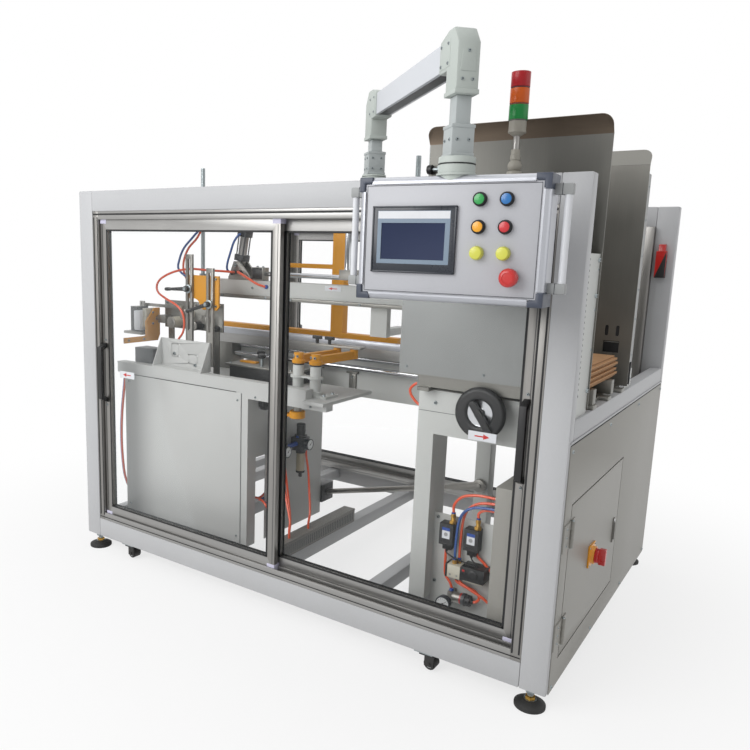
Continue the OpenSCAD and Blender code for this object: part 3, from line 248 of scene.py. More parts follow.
class Group(Links):
    """A node group in the making, with its own inputs and outputs."""

    # Kind of socket by name; all others are numbers
    KINDS = {"Colour": "Color", "Stretch": "Vector", "Normal": "Vector", "Geometry": "Geometry",
             "Block Size": "Vector", "Head Finish": "Material", "Socket Finish": "Material",
             "Block Finish": "Material", "Thread Finish": "Material"}

    def __init__(self, name: str, kind: str, inputs: dict[str, object], outputs: Sequence[str]) -> None:
        """Start a group.

        Args:
            name: the group's name.
            kind: its type of tree.
            inputs: default value by name, None where there is none.
            outputs: their names.
        """
        super().__init__(bpy.data.node_groups.new(name, kind))
        for key, value in inputs.items():
            made = self._socket(key, "INPUT")
            if value is not None:
                made.default_value = value
        for key in outputs:
            self._socket(key, "OUTPUT")
        self.source = self.add("NodeGroupInput").outputs
        self.target = self.add("NodeGroupOutput")

    def _socket(self, key: str, side: str) -> bpy.types.NodeTreeInterfaceSocket:
        """Add one socket to the group."""
        kind = "NodeSocket" + self.KINDS.get(key, "Float")
        return self.tree.interface.new_socket(key, in_out=side, socket_type=kind)

    def done(self, feeds: Feeds) -> bpy.types.NodeTree:
        """Feed the group's outputs and hand its tree over."""
        self.feed(self.target, feeds)
        return self.tree


class Effects:
    """Shader node groups that several finishes share."""

    GREY = (0.5, 0.5, 0.5, 1)
    DUST = (0.26, 0.24, 0.21, 1)
    TONE_GAIN = 3.0

    def __init__(self) -> None:
        """Build each group once."""
        self.mottle = self._mottle()
        self.relief = self._relief()
        self.streaks = self._streaks()
        self.dust = self._dust()

    def _vary(self, g: Group, level: Socket) -> Feeds:
        """Vary colour and roughness about their given values.

        Args:
            g: a group with Colour, Amount, Rough and Rough Spread.
            level: the pattern, about zero.

        Returns:
            What the group's Colour and Rough follow.
        """
        gain = g.math("MULTIPLY", g.source["Amount"], self.TONE_GAIN)
        tone = g.math("MULTIPLY_ADD", level, gain, 1.0)
        rough = g.math("MULTIPLY_ADD", level, g.source["Rough Spread"], g.source["Rough"], clamp=True)
        return {"Colour": g.mix(1.0, g.source["Colour"], tone, "MULTIPLY"), "Rough": rough}

    def _mottle(self) -> bpy.types.NodeTree:
        """Slow and fine variation of colour and gloss over a surface."""
        g = Group("surface_mottle", "ShaderNodeTree", {
            "Colour": self.GREY, "Scale": 7.0, "Amount": 0.05, "Rough": 0.45, "Rough Spread": 0.1},
            ("Colour", "Rough"))
        place = g.place()
        slow = g.noise(place, g.source["Scale"], 4.0, 0.62)
        both = g.math("MULTIPLY_ADD", g.noise(place, 160.0, 2.0), 0.4, slow)
        return g.done(self._vary(g, g.math("SUBTRACT", both, 0.7)))

    def _relief(self) -> bpy.types.NodeTree:
        """Fine bumps: orange peel on paint, grain on plastic."""
        g = Group("fine_relief", "ShaderNodeTree", {"Scale": 500.0, "Strength": 0.2, "Depth": 0.0004},
                  ("Normal",))
        noise = g.noise(g.place(), g.source["Scale"], 1.5)
        return g.done({"Normal": g.bump(noise, g.source["Strength"], g.source["Depth"])})

    def _streaks(self) -> bpy.types.NodeTree:
        """Drawn-out streaks of brushed sheet and extruded profiles."""
        g = Group("drawn_streaks", "ShaderNodeTree", {
            "Colour": self.GREY, "Stretch": (1, 1, 1), "Amount": 0.1, "Rough": 0.35, "Rough Spread": 0.16,
            "Strength": 0.06}, ("Colour", "Rough", "Normal"))
        place = g.place()
        drawn = g.add("ShaderNodeVectorMath", {0: place, 1: g.source["Stretch"]}, operation="MULTIPLY")
        noise = g.noise(drawn.outputs[0], 420.0, 3.0, 0.7)
        both = g.math("ADD", noise, g.noise(place, 5.0, 3.0))
        normal = g.bump(noise, g.source["Strength"], 0.0003)
        return g.done(self._vary(g, g.math("SUBTRACT", both, 1.0)) | {"Normal": normal})

    def _dust(self) -> bpy.types.NodeTree:
        """Shop dust that gathers towards the floor."""
        g = Group("floor_dust", "ShaderNodeTree", {"Colour": self.GREY, "Height": 0.3, "Amount": 0.18},
                  ("Colour",))
        place = g.place()
        height = g.add("ShaderNodeSeparateXYZ", {0: place}).outputs["Z"]
        fade = g.add("ShaderNodeMapRange", {
            "Value": height, "From Max": g.source["Height"], "To Min": 1.0, "To Max": 0.0})
        mask = g.math("MULTIPLY", fade.outputs[0], g.noise(place, 24.0, 5.0))
        share = g.math("MULTIPLY", mask, g.source["Amount"])
        return g.done({"Colour": g.mix(share, g.source["Colour"], self.DUST)})


class Paintshop:
    """Builds each finish's material once and hands it out."""

    COAT_ROUGH = 0.12
    STREAK_GAIN = 1.6

    def __init__(self) -> None:
        """Make the shared effects and an empty store."""
        self.effects = Effects()
        self.store: dict[str, bpy.types.Material] = {}

    def material(self, finish: Finish) -> bpy.types.Material:
        """Give a finish's material.

        Args:
            finish: the finish wanted.

        Returns:
            Its material, built at the first call.
        """
        if finish.name not in self.store:
            self.store[finish.name] = self._build(finish)
        return self.store[finish.name]

    def _build(self, finish: Finish) -> bpy.types.Material:
        """Build one finish's material; its look says what feeds the shader."""
        mat = bpy.data.materials.new(finish.name)
        mat.use_nodes = True
        links = Links(mat.node_tree)
        look = {
            Look.PAINT: self._paint, Look.STREAK: self._streak, Look.PLASTIC: self._plastic,
            Look.PANE: self._pane, Look.LENS: self._lens, Look.BOARD: self._board,
            Look.DISPLAY: self._display, Look.DIAL: self._dial,
        }[finish.look]
        links.feed(mat.node_tree.nodes["Principled BSDF"], look(links, finish) | {
            "Metallic": finish.metal, "Specular IOR Level": finish.specular, "Coat Weight": finish.coat,
            "Coat Roughness": self.COAT_ROUGH})
        return mat

    def _mottled(self, links: Links, finish: Finish, scale: float, spread: float) -> Feeds:
        """Take colour and roughness from the mottle group.

        Args:
            links: the material's tree.
            finish: the finish being built.
            scale: size of the slow pattern, per metre.
            spread: how much the roughness varies.

        Returns:
            What the shader's colour and roughness follow.
        """
        made = links.add("ShaderNodeGroup", {
            "Colour": linear(finish.colour), "Scale": scale, "Amount": finish.mottle,
            "Rough": finish.rough, "Rough Spread": spread}, node_tree=self.effects.mottle)
        return {"Base Color": made.outputs["Colour"], "Roughness": made.outputs["Rough"]}

    def _relieved(self, links: Links, scale: float, strength: float) -> Feeds:
        """Take the normal from the relief group."""
        feeds = {"Scale": scale, "Strength": strength}
        return {"Normal": links.add("ShaderNodeGroup", feeds,
                                    node_tree=self.effects.relief).outputs["Normal"]}

    def _paint(self, links: Links, finish: Finish) -> Feeds:
        """Powder coat: slow tone change, orange peel and dust near the floor."""
        feeds = self._mottled(links, finish, scale=3.0, spread=0.12)
        dust = links.add("ShaderNodeGroup", {"Colour": feeds["Base Color"]}, node_tree=self.effects.dust)
        feeds["Base Color"] = dust.outputs["Colour"]
        return feeds | self._relieved(links, 420.0, finish.grain)

    def _streak(self, links: Links, finish: Finish) -> Feeds:
        """Metal with streaks along its length."""
        made = links.add("ShaderNodeGroup", {
            "Colour": linear(finish.colour), "Stretch": finish.streak,
            "Amount": finish.mottle * self.STREAK_GAIN, "Rough": finish.rough},
            node_tree=self.effects.streaks).outputs
        return {"Base Color": made["Colour"], "Roughness": made["Rough"], "Normal": made["Normal"]}

    def _plastic(self, links: Links, finish: Finish) -> Feeds:
        """Moulded plastic or rubber."""
        feeds = self._mottled(links, finish, scale=18.0, spread=0.2)
        return feeds | self._relieved(links, 1100.0, finish.grain)

    def _pane(self, links: Links, finish: Finish) -> Feeds:
        """Clear sheet: nearly all alpha, with a faint sheen at grazing angles."""
        edge = links.add("ShaderNodeFresnel", {"IOR": 1.35}).outputs[0]
        alpha = links.math("MULTIPLY_ADD", edge, 0.1, 0.008, clamp=True)
        return self._mottled(links, finish, scale=4.0, spread=0.08) | {"Alpha": alpha}

    def _lens(self, links: Links, finish: Finish) -> Feeds:
        """Coloured lens with faint moulding rings inside."""
        rings = links.add("ShaderNodeTexWave", {
            "Vector": links.place(), "Scale": 90.0, "Distortion": 0.3}, bands_direction="Z")
        normal = links.bump(rings.outputs["Fac"], 0.12, 0.0005)
        return self._mottled(links, finish, scale=30.0, spread=0.1) | {"Normal": normal}

    def _board(self, links: Links, finish: Finish) -> Feeds:
        """Corrugated board: fibre flecks, and flutes that show at the cut edges."""
        feeds = self._mottled(links, finish, scale=12.0, spread=0.1)
        flutes = links.add("ShaderNodeTexWave", {
            "Vector": links.place(), "Scale": 52.0, "Distortion": 1.2, "Detail": 2.0},
            bands_direction="Z").outputs
        feeds["Base Color"] = links.mix(0.55, feeds["Base Color"], flutes["Color"], "MULTIPLY")
        return feeds | {"Normal": links.bump(flutes["Fac"], 0.5, 0.001)}

    def _display(self, links: Links, finish: Finish) -> Feeds:
        """Dark display: a slow change of tone under a matt sheet."""
        return self._mottled(links, finish, scale=14.0, spread=0.04)

    def _dial(self, links: Links, finish: Finish) -> Feeds:
        """Pale gauge face."""
        return self._mottled(links, finish, scale=60.0, spread=0.05)


class Shape:
    """A mesh in the making, drawn in millimetres.

    Points are from the frame's front left corner, or in the local frame that
    the place matrix carries there.
    """

    def __init__(self, place: Optional[Matrix] = None) -> None:
        """Start empty; place carries local points to the frame's corner."""
        self.bm = bmesh.new()
        self.place = place or Matrix.Identity(4)
        self.finishes: list[Finish] = []

    def _claim(self, faces: Iterable[bmesh.types.BMFace], finish: Finish) -> None:
        """Give faces their finish."""
        if finish not in self.finishes:
            self.finishes.append(finish)
        for f in faces:
            f.material_index = self.finishes.index(finish)

    def _solid(self, rings: list[list[Vector]], finish: Finish) -> list:
        """Skin a row of equal rings and close both ends.

        Args:
            rings: closed rings of points, one after the other.
            finish: their finish.

        Returns:
            The new faces.
        """
        rows = [[self.bm.verts.new(p) for p in ring] for ring in rings]
        n = len(rows[0])
        faces = []
        for a, b in zip(rows, rows[1:]):
            for k in range(n):
                q = (k + 1) % n
                faces.append(self.bm.faces.new((a[k], a[q], b[q], b[k])))
        faces.append(self.bm.faces.new(list(reversed(rows[0]))))
        faces.append(self.bm.faces.new(rows[-1]))
        self._claim(faces, finish)
        return faces

    def _round(self, faces: list, edge: float, steps: int, finish: Finish) -> None:
        """Round all edges of a new solid."""
        if edge <= 0:
            return
        edges = list({e for f in faces for e in f.edges})
        made = bmesh.ops.bevel(self.bm, geom=edges, offset=edge, segments=steps, profile=0.5,
                               affect="EDGES", clamp_overlap=True)
        self._claim(made["faces"], finish)

    @staticmethod
    def _ring(middle: Vector, u: Vector, v: Vector, r: float, sides: int) -> list[Vector]:
        """Set points on a circle in the plane of u and v."""
        turns = (2 * math.pi * k / sides for k in range(sides))
        return [middle + (u * math.cos(t) + v * math.sin(t)) * r for t in turns]

    def box(self, lo: Triple, hi: Triple, finish: Finish, edge: float = 0.0, steps: int = 2) -> None:
        """Add a box between two corners, its edges rounded by edge."""
        (x0, y0, z0), (x1, y1, z1) = lo, hi
        flat = [(x0, y0), (x1, y0), (x1, y1), (x0, y1)]
        faces = self._solid([[Vector((x, y, z)) for x, y in flat] for z in (z0, z1)], finish)
        self._round(faces, edge, steps, finish)

    def bars(self, flats: Iterable[tuple[Pair, Pair]], depth: Sequence[float], finish: Finish,
             edge: float = 0.0, steps: int = 2) -> None:
        """Add upright boxes of one depth.

        Args:
            flats: lowest and highest x and z of each box.
            depth: their front and rear along Y.
            finish: their finish.
            edge, steps: rounding of their edges.
        """
        for (x0, z0), (x1, z1) in flats:
            self.box((x0, depth[0], z0), (x1, depth[1], z1), finish, edge, steps)

    def lathe(self, base: Triple, axis: Triple, profile: Sequence[Pair], finish: Finish,
              sides: int = 28) -> None:
        """Turn a profile.

        Args:
            base: where the profile's height is zero.
            axis: direction of growing height.
            profile: radius and height, from one end to the other.
            finish: its finish.
            sides: facets round the axis.
        """
        way = Vector(axis).normalized()
        u = way.orthogonal().normalized()
        v = way.cross(u)
        self._solid([self._ring(Vector(base) + way * height, u, v, max(radius, 0.01), sides)
                     for radius, height in profile], finish)

    def rod(self, a: Triple, b: Triple, r: float, finish: Finish, edge: float = 0.6, sides: int = 20) -> None:
        """Add a round rod from a to b with broken edges."""
        along = Vector(b) - Vector(a)
        length = along.length
        e = min(edge, 0.45 * length, 0.45 * r)
        self.lathe(a, tuple(along), [(r - e, 0), (r, e), (r, length - e), (r - e, length)], finish, sides)

    def sweep(self, points: Sequence[Triple], r: float, finish: Finish, sides: int = 10,
              steps: int = 6) -> None:
        """Sweep a round section along a smooth curve through points."""
        p = [Vector(q) for q in points]
        ends = [2 * p[0] - p[1], *p, 2 * p[-1] - p[-2]]
        path = []
        for i in range(len(p) - 1):
            a, b, c, d = ends[i:i + 4]
            for k in range(steps):
                t = k / steps
                path.append(0.5 * (2 * b + (c - a) * t + (2 * a - 5 * b + 4 * c - d) * t * t
                                   + (3 * b - a - 3 * c + d) * t ** 3))
        path.append(p[-1])
        u = (path[1] - path[0]).orthogonal().normalized()
        rings = []
        for j, q in enumerate(path):
            way = (path[min(j + 1, len(path) - 1)] - path[max(j - 1, 0)]).normalized()
            u = (u - way * u.dot(way)).normalized()
            rings.append(self._ring(q, u, way.cross(u), r, sides))
        self._solid(rings, finish)

    def plate(self, outline: Sequence[Pair], base: Triple, u: Triple, v: Triple, thick: float,
              finish: Finish, edge: float = 0.0) -> None:
        """Extrude a flat outline.

        Args:
            outline: points along u and v.
            base: where the outline's origin lies.
            u, v: directions of the outline's two axes.
            thick: thickness along u cross v.
            finish: its finish.
            edge: rounding of its edges.
        """
        uu, vv = Vector(u), Vector(v)
        out = uu.cross(vv).normalized() * thick
        ring = [Vector(base) + uu * a + vv * b for a, b in outline]
        faces = self._solid([ring, [q + out for q in ring]], finish)
        self._round(faces, edge, 2, finish)

    def make(self, name: str, body: str, shop: Paintshop) -> bpy.types.Object:
        """Finish the mesh as a piece of the machine.

        Args:
            name: the piece's name.
            body: the body it rides on.
            shop: where its materials come from.

        Returns:
            The new object.
        """
        bm = self.bm
        for vert in bm.verts:
            vert.co = (self.place @ vert.co - ORIGIN) * METRE
        bmesh.ops.recalc_face_normals(bm, faces=bm.faces)
        for f in bm.faces:
            f.smooth = True
        for e in bm.edges:
            e.smooth = len(e.link_faces) == 2 and e.calc_face_angle(0) < SHARP_ANGLE
        mesh = bpy.data.meshes.new(name)
        bm.to_mesh(mesh)
        bm.free()
        for finish in self.finishes:
            mesh.materials.append(shop.material(finish))
        return settle(mesh, name, body)


def settle(mesh: bpy.types.Mesh, name: str, body: str) -> bpy.types.Object:
    """Put a finished mesh on its body.

    Args:
        mesh: the mesh, in the part's frame.
        name: the piece's name.
        body: the body it rides on.

    Returns:
        The new object.
    """
    obj = bpy.data.objects.new(name, mesh)
    bpy.context.scene.collection.objects.link(obj)
    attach(obj, body)
    log.info("piece %s rides on %s: %d faces", name, body, len(mesh.polygons))
    return obj


class Trees:
    """Geometry Nodes trees for what repeats on the machine."""

    # Foot, top and socket of a screw head, as shares of its diameter
    HEAD_SHARES = (0.5, 0.4, 0.24)
    SOCKET_DEPTH = 0.0006

    def __init__(self) -> None:
        """Build each tree once."""
        self.heads = self._heads()
        self.marks = self._marks()
        self.thread = self._thread()

    @staticmethod
    def _start(name: str, sizes: dict[str, object]) -> Group:
        """Start a tree with a geometry input and output and named sizes.

        Args:
            name: the tree's name.
            sizes: default value by name, None for a finish.

        Returns:
            The tree's helper.
        """
        g = Group(name, "GeometryNodeTree", {"Geometry": None} | sizes, ("Geometry",))
        g.tree.is_modifier = True
        return g

    @staticmethod
    def _attribute(g: Group, name: str, kind: str) -> Socket:
        """Read a named attribute."""
        return g.add("GeometryNodeInputNamedAttribute", {"Name": name}, data_type=kind).outputs["Attribute"]

    def _spread(self, g: Group, instance: Socket, finish: str) -> Socket:
        """Set an instance on each point along its aim, as one mesh.

        Args:
            g: the tree's helper.
            instance: the geometry to repeat.
            finish: the input with its material.

        Returns:
            The mesh.
        """
        aim = {"Vector": self._attribute(g, "aim", "FLOAT_VECTOR")}
        turn = g.add("FunctionNodeAlignRotationToVector", aim, axis="Z")
        spread = g.add("GeometryNodeInstanceOnPoints", {
            "Points": g.source["Geometry"], "Instance": instance, "Rotation": turn.outputs["Rotation"]})
        real = g.add("GeometryNodeRealizeInstances", {"Geometry": spread.outputs["Instances"]})
        return g.add("GeometryNodeSetMaterial", {
            "Geometry": real.outputs["Geometry"], "Material": g.source[finish]}).outputs["Geometry"]

    def _heads(self) -> bpy.types.NodeTree:
        """Screw heads with a six-sided socket."""
        g = self._start("screw_heads", {
            "Head Diameter": 0.01, "Head Height": 0.004, "Head Finish": None, "Socket Finish": None})
        foot, top, key = (g.math("MULTIPLY", g.source["Head Diameter"], s) for s in self.HEAD_SHARES)
        head = g.add("GeometryNodeMeshCone", {
            "Vertices": 16, "Radius Top": top, "Radius Bottom": foot, "Depth": g.source["Head Height"]})
        socket = g.add("GeometryNodeMeshCylinder", {"Vertices": 6, "Radius": key, "Depth": self.SOCKET_DEPTH})
        lift = g.add("ShaderNodeCombineXYZ", {"Z": g.source["Head Height"]})
        move = g.add("GeometryNodeTransform", {
            "Geometry": socket.outputs["Mesh"], "Translation": lift.outputs[0]})
        mark = g.add("GeometryNodeStoreNamedAttribute", {
            "Geometry": move.outputs["Geometry"], "Name": "socket", "Value": True},
            data_type="BOOLEAN", domain="FACE")
        both = g.add("GeometryNodeJoinGeometry", {"Geometry": head.outputs["Mesh"]})
        g.feed(both, {"Geometry": mark.outputs["Geometry"]})
        dark = g.add("GeometryNodeSetMaterial", {
            "Geometry": self._spread(g, both.outputs["Geometry"], "Head Finish"),
            "Selection": self._attribute(g, "socket", "BOOLEAN"), "Material": g.source["Socket Finish"]})
        return g.done({"Geometry": dark.outputs["Geometry"]})

    def _marks(self) -> bpy.types.NodeTree:
        """Equal small blocks: slots of a duct, ribs, marks of a gauge."""
        g = self._start("block_row", {"Block Size": (0.01, 0.01, 0.01), "Block Finish": None})
        block = g.add("GeometryNodeMeshCube", {"Size": g.source["Block Size"]})
        return g.done({"Geometry": self._spread(g, block.outputs["Mesh"], "Block Finish")})

    def _thread(self) -> bpy.types.NodeTree:
        """Screw thread: a ridge wound round a rod."""
        g = self._start("screw_thread", {
            "Rod Radius": 0.008, "Turns": 40.0, "Length": 0.2, "Ridge": 0.0012, "Thread Finish": None})
        radius = g.source["Rod Radius"]
        wind = g.add("GeometryNodeCurveSpiral", {
            "Resolution": 12, "Rotations": g.source["Turns"], "Start Radius": radius, "End Radius": radius,
            "Height": g.source["Length"]})
        ridge = g.add("GeometryNodeCurvePrimitiveCircle", {"Resolution": 4, "Radius": g.source["Ridge"]})
        skin = g.add("GeometryNodeCurveToMesh", {
            "Curve": wind.outputs["Curve"], "Profile Curve": ridge.outputs["Curve"], "Fill Caps": True})
        return g.done({"Geometry": self._spread(g, skin.outputs["Mesh"], "Thread Finish")})


class Repeats:
    """Lays out what repeats, through the Geometry Nodes trees."""

    def __init__(self, shop: Paintshop) -> None:
        """Keep the paint shop and build the trees."""
        self.shop = shop
        self.trees = Trees()

    def _grow(self, tree: bpy.types.NodeTree, spots: Sequence[Spot], sizes: dict[str, object], name: str,
              body: str) -> bpy.types.Object:
        """Run a tree on points and keep its plain mesh.

        Args:
            tree: the tree to run.
            spots: position in millimetres and aim of each point.
            sizes: the tree's inputs by name.
            name, body: of the finished piece.

        Returns:
            The finished piece.
        """
        seed = bpy.data.meshes.new(name + "_points")
        seed.from_pydata([at(*p) for p, _ in spots], [], [])
        aim = seed.attributes.new("aim", "FLOAT_VECTOR", "POINT")
        for k, (_, way) in enumerate(spots):
            aim.data[k].vector = Vector(way).normalized()
        obj = bpy.data.objects.new(name + "_points", seed)
        bpy.context.scene.collection.objects.link(obj)
        mod = obj.modifiers.new("grow", "NODES")
        mod.node_group = tree
        keys = {item.name: item.identifier for item in tree.interface.items_tree
                if item.item_type == "SOCKET" and item.in_out == "INPUT"}
        for key, value in sizes.items():
            mod[keys[key]] = value
        graph = bpy.context.evaluated_depsgraph_get()
        mesh = bpy.data.meshes.new_from_object(obj.evaluated_get(graph), depsgraph=graph)
        mesh.name = name
        bpy.data.objects.remove(obj)
        bpy.data.meshes.remove(seed)
        return settle(mesh, name, body)

    def heads(self, name: str, body: str, spots: Sequence[Spot], d: float, h: float,
              finish: Finish = Finishes.ZINC, slot: str = "bright_steel") -> bpy.types.Object:
        """Set screw heads of diameter d and height h, in millimetres, on spots."""
        return self._grow(self.trees.heads, spots, {
            "Head Diameter": d * METRE, "Head Height": h * METRE,
            "Head Finish": self.shop.material(finish),
            "Socket Finish": self.shop.material(Finishes.SEAL)}, name, body)

    def blocks(self, name: str, body: str, spots: Sequence[Spot], size: Triple, finish: Finish,
               slot: str) -> bpy.types.Object:
        """Set equal blocks of a size in millimetres on spots."""
        return self._grow(self.trees.marks, spots, {
            "Block Size": tuple(s * METRE for s in size),
            "Block Finish": self.shop.material(finish)}, name, body)

    def threads(self, name: str, body: str, spots: Sequence[Spot], r: float, length: float, pitch: float,
                finish: Finish, slot: str) -> bpy.types.Object:
        """Wind a thread of a pitch round rods of radius r, in millimetres."""
        return self._grow(self.trees.thread, spots, {
            "Rod Radius": r * METRE, "Turns": length / pitch, "Length": length * METRE,
            "Ridge": 0.42 * pitch * METRE, "Thread Finish": self.shop.material(finish)}, name, body)


Rule = Callable[[Vector, Vector, Vector], Finish]


class CadDress:
    """Gives the solids of the frame their finishes and broken edges."""

    POINTS_PER_METRE = 20000
    WELD = 0.00001
    BEVEL_ANGLE = math.radians(40)

    def __init__(self, shop: Paintshop) -> None:
        """Keep the paint shop."""
        self.shop = shop

    @staticmethod
    def _islands(mesh: bpy.types.Mesh) -> list[tuple[Vector, Vector]]:
        """Find the box of the separate solid that each face belongs to.

        Args:
            mesh: a solid's mesh of loose triangles.

        Returns:
            Lowest and highest corner in millimetres, one pair for each face.
        """
        key = [tuple(round(c * CadDress.POINTS_PER_METRE) for c in v.co) for v in mesh.vertices]
        parent: dict = {k: k for k in key}

        def root(k: tuple) -> tuple:
            """Follow a point to its solid's first point."""
            while parent[k] != k:
                parent[k] = parent[parent[k]]
                k = parent[k]
            return k

        for face in mesh.polygons:
            first = root(key[face.vertices[0]])
            for v in face.vertices[1:]:
                parent[root(key[v])] = first
        boxes: dict = {}
        for v, k in zip(mesh.vertices, key):
            p = v.co / METRE + ORIGIN
            r = root(k)
            if r in boxes:
                lo, hi = boxes[r]
                boxes[r] = (Vector(map(min, lo, p)), Vector(map(max, hi, p)))
            else:
                boxes[r] = (p.copy(), p.copy())
        return [boxes[root(key[f.vertices[0]])] for f in mesh.polygons]

    def dress(self, node: str, finish: Finish, edge: float = 1.2, rule: Optional[Rule] = None) -> None:
        """Finish one solid.

        Args:
            node: the solid's name.
            finish: its main finish.
            edge: how far its edges are broken, in millimetres.
            rule: gives a face's finish from its centre and its solid's box, in
                millimetres, where the solid has more than one finish.
        """
        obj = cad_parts[node]
        mesh = obj.data
        used = [finish]
        index = [0] * len(mesh.polygons)
        if rule:
            for face, (lo, hi) in zip(mesh.polygons, self._islands(mesh)):
                centre = sum((mesh.vertices[v].co for v in face.vertices), Vector()) / len(face.vertices)
                wanted = rule(centre / METRE + ORIGIN, lo, hi)
                if wanted not in used:
                    used.append(wanted)
                index[face.index] = used.index(wanted)
        mesh.materials.clear()
        for item in used:
            mesh.materials.append(self.shop.material(item))
        mesh.polygons.foreach_set("material_index", index)
        if "custom_normal" in mesh.attributes:
            mesh.attributes.remove(mesh.attributes["custom_normal"])
        mesh.shade_smooth()
        weld = obj.modifiers.new("weld", "WELD")
        weld.merge_threshold = self.WELD
        if edge > 0:
            bevel = obj.modifiers.new("broken_edges", "BEVEL")
            bevel.width = edge * METRE
            bevel.segments = 2
            bevel.limit_method = "ANGLE"
            bevel.angle_limit = self.BEVEL_ANGLE
        split = obj.modifiers.new("crisp_edges", "EDGE_SPLIT")
        split.split_angle = SHARP_ANGLE
        log.info("solid %s: %s", node, ", ".join(item.name for item in used))


@dataclass
class Studio:
    """Camera, lamps and floor."""

    lens: float = 34.90
    shift: Pair = (0.0881, 0.0142)
    place: Triple = (1.4016, -2.34207, 1.2176)
    turn: float = 34.82
    tilt: float = 10.324
    roll: float = 1.558
    key_power: float = 160.0
    side_power: float = 18.0
    top_power: float = 30.0
    ambient: float = 0.50
    white: tuple[float, ...] = (1, 1, 1, 1)
    floor_colour: tuple[float, ...] = (0.82, 0.82, 0.82, 1)
    floor_half: float = 9.0
    fade: Pair = (0.7, 2.4)
    near_glow: float = 0.72
    sensor: float = 36.0

    def build(self) -> None:
        """Set up the whole studio."""
        bpy.context.scene.view_settings.view_transform = "Standard"
        self._camera()
        self._lamp("key", (-1.6, -4.2, 3.0), (0, 0, 0.75), 3.4, self.key_power)
        self._lamp("side", (4.6, 0.2, 2.4), (0.4, 0, 0.8), 2.6, self.side_power)
        self._lamp("top", (0.0, 0.4, 4.6), (0, 0, 0.8), 3.6, self.top_power)
        self._floor()
        self._world()

    def _camera(self) -> None:
        """Stand the camera where the photograph was taken from."""
        a, e, r = (math.radians(v) for v in (self.turn, self.tilt, self.roll))
        back = Vector((math.sin(a) * math.cos(e), -math.cos(a) * math.cos(e), math.sin(e)))
        right = Vector((math.cos(a), math.sin(a), 0))
        up = back.cross(right)
        right, up = right * math.cos(r) + up * math.sin(r), up * math.cos(r) - right * math.sin(r)
        data = bpy.data.cameras.new("camera")
        data.lens = self.lens
        data.sensor_width = self.sensor
        data.shift_x, data.shift_y = self.shift
        cam = bpy.data.objects.new("camera", data)
        turn = Matrix((right, up, back)).transposed().to_4x4()
        cam.matrix_world = Matrix.Translation(self.place) @ turn
        bpy.context.scene.collection.objects.link(cam)
        bpy.context.scene.camera = cam

    @staticmethod
    def _lamp(name: str, place: Triple, target: Triple, size: float, power: float) -> None:
        """Hang a square soft lamp that faces a target."""
        data = bpy.data.lights.new(name, "AREA")
        data.size = size
        data.energy = power
        lamp = bpy.data.objects.new(name, data)
        lamp.location = place
        lamp.rotation_euler = (Vector(target) - Vector(place)).to_track_quat("-Z", "Y").to_euler()
        bpy.context.scene.collection.objects.link(lamp)

    @staticmethod
    def _seen(links: Links) -> Socket:
        """Tell whether a ray is the camera's own, or a mirrored or clear one."""
        path = links.add("ShaderNodeLightPath").outputs
        direct = links.math("MAXIMUM", path["Is Camera Ray"], path["Is Glossy Ray"])
        return links.math("MAXIMUM", direct, path["Is Transmission Ray"])

    def _floor(self) -> None:
        """Lay a pale floor that goes over into the white background."""
        e = self.floor_half
        mesh = bpy.data.meshes.new("floor")
        mesh.from_pydata([(-e, -e, 0), (e, -e, 0), (e, e, 0), (-e, e, 0)], [], [(0, 1, 2, 3)])
        floor = bpy.data.objects.new("floor", mesh)
        mat = bpy.data.materials.new("pale_floor")
        mat.use_nodes = True
        nodes = mat.node_tree.nodes
        nodes.remove(nodes["Principled BSDF"])
        links = Links(mat.node_tree)
        matt = links.add("ShaderNodeBsdfDiffuse", {"Color": self.floor_colour})
        glow = links.add("ShaderNodeEmission", {"Color": self.white, "Strength": 1.0})
        far = links.add("ShaderNodeVectorMath", {0: links.place()}, operation="LENGTH")
        fade = links.add("ShaderNodeMapRange", {
            "Value": far.outputs["Value"], "From Min": self.fade[0], "From Max": self.fade[1],
            "To Min": self.near_glow, "To Max": 1.0}, interpolation_type="SMOOTHSTEP")
        share = links.math("MULTIPLY", fade.outputs[0], self._seen(links))
        mix = links.add("ShaderNodeMixShader", {0: share, 1: matt.outputs[0], 2: glow.outputs[0]})
        links.feed(nodes["Material Output"], {"Surface": mix.outputs[0]})
        mesh.materials.append(mat)
        bpy.context.scene.collection.objects.link(floor)

    def _world(self) -> None:
        """White to the camera and to mirrors, soft grey light to the rest."""
        world = bpy.data.worlds.new("studio")
        world.use_nodes = True
        links = Links(world.node_tree)
        level = links.add("ShaderNodeMapRange", {
            "Value": self._seen(links), "To Min": self.ambient, "To Max": 1.0})
        links.feed(world.node_tree.nodes["Background"], {"Color": self.white, "Strength": level.outputs[0]})
        bpy.context.scene.world = world


@dataclass(frozen=True)
class PanelFrame:
    """Where the operator panel stands: its drop axis and its turn."""

    x: float = 1655.13
    y: float = -234.81
    yaw: float = 5.0

    def place(self) -> Matrix:
        """Carry panel points to the frame's corner."""
        return Matrix.Translation((self.x, self.y, 0)) @ Matrix.Rotation(math.radians(self.yaw), 4, "Z")

    def local(self, p: Vector) -> Vector:
        """Carry a point back into the panel's own frame."""
        return self.place().inverted() @ p


@dataclass(frozen=True)
class ArmFrame:
    """Where the panel arm stands: its swivel axis and its turn."""

    x: float = 1160.0
    y: float = 240.0
    angle: float = 43.8
    reach: float = 686.0

    def place(self) -> Matrix:
        """Carry arm points to the frame's corner; +X runs along the beam."""
        return Matrix.Translation((self.x, self.y, 0)) @ Matrix.Rotation(math.radians(-self.angle), 4, "Z")

    def drop(self) -> Matrix:
        """Carry points about the drop tube; +X runs back along the beam."""
        return (self.place() @ Matrix.Translation((self.reach, 0, 0))
                @ Matrix.Rotation(math.pi, 4, "Z"))


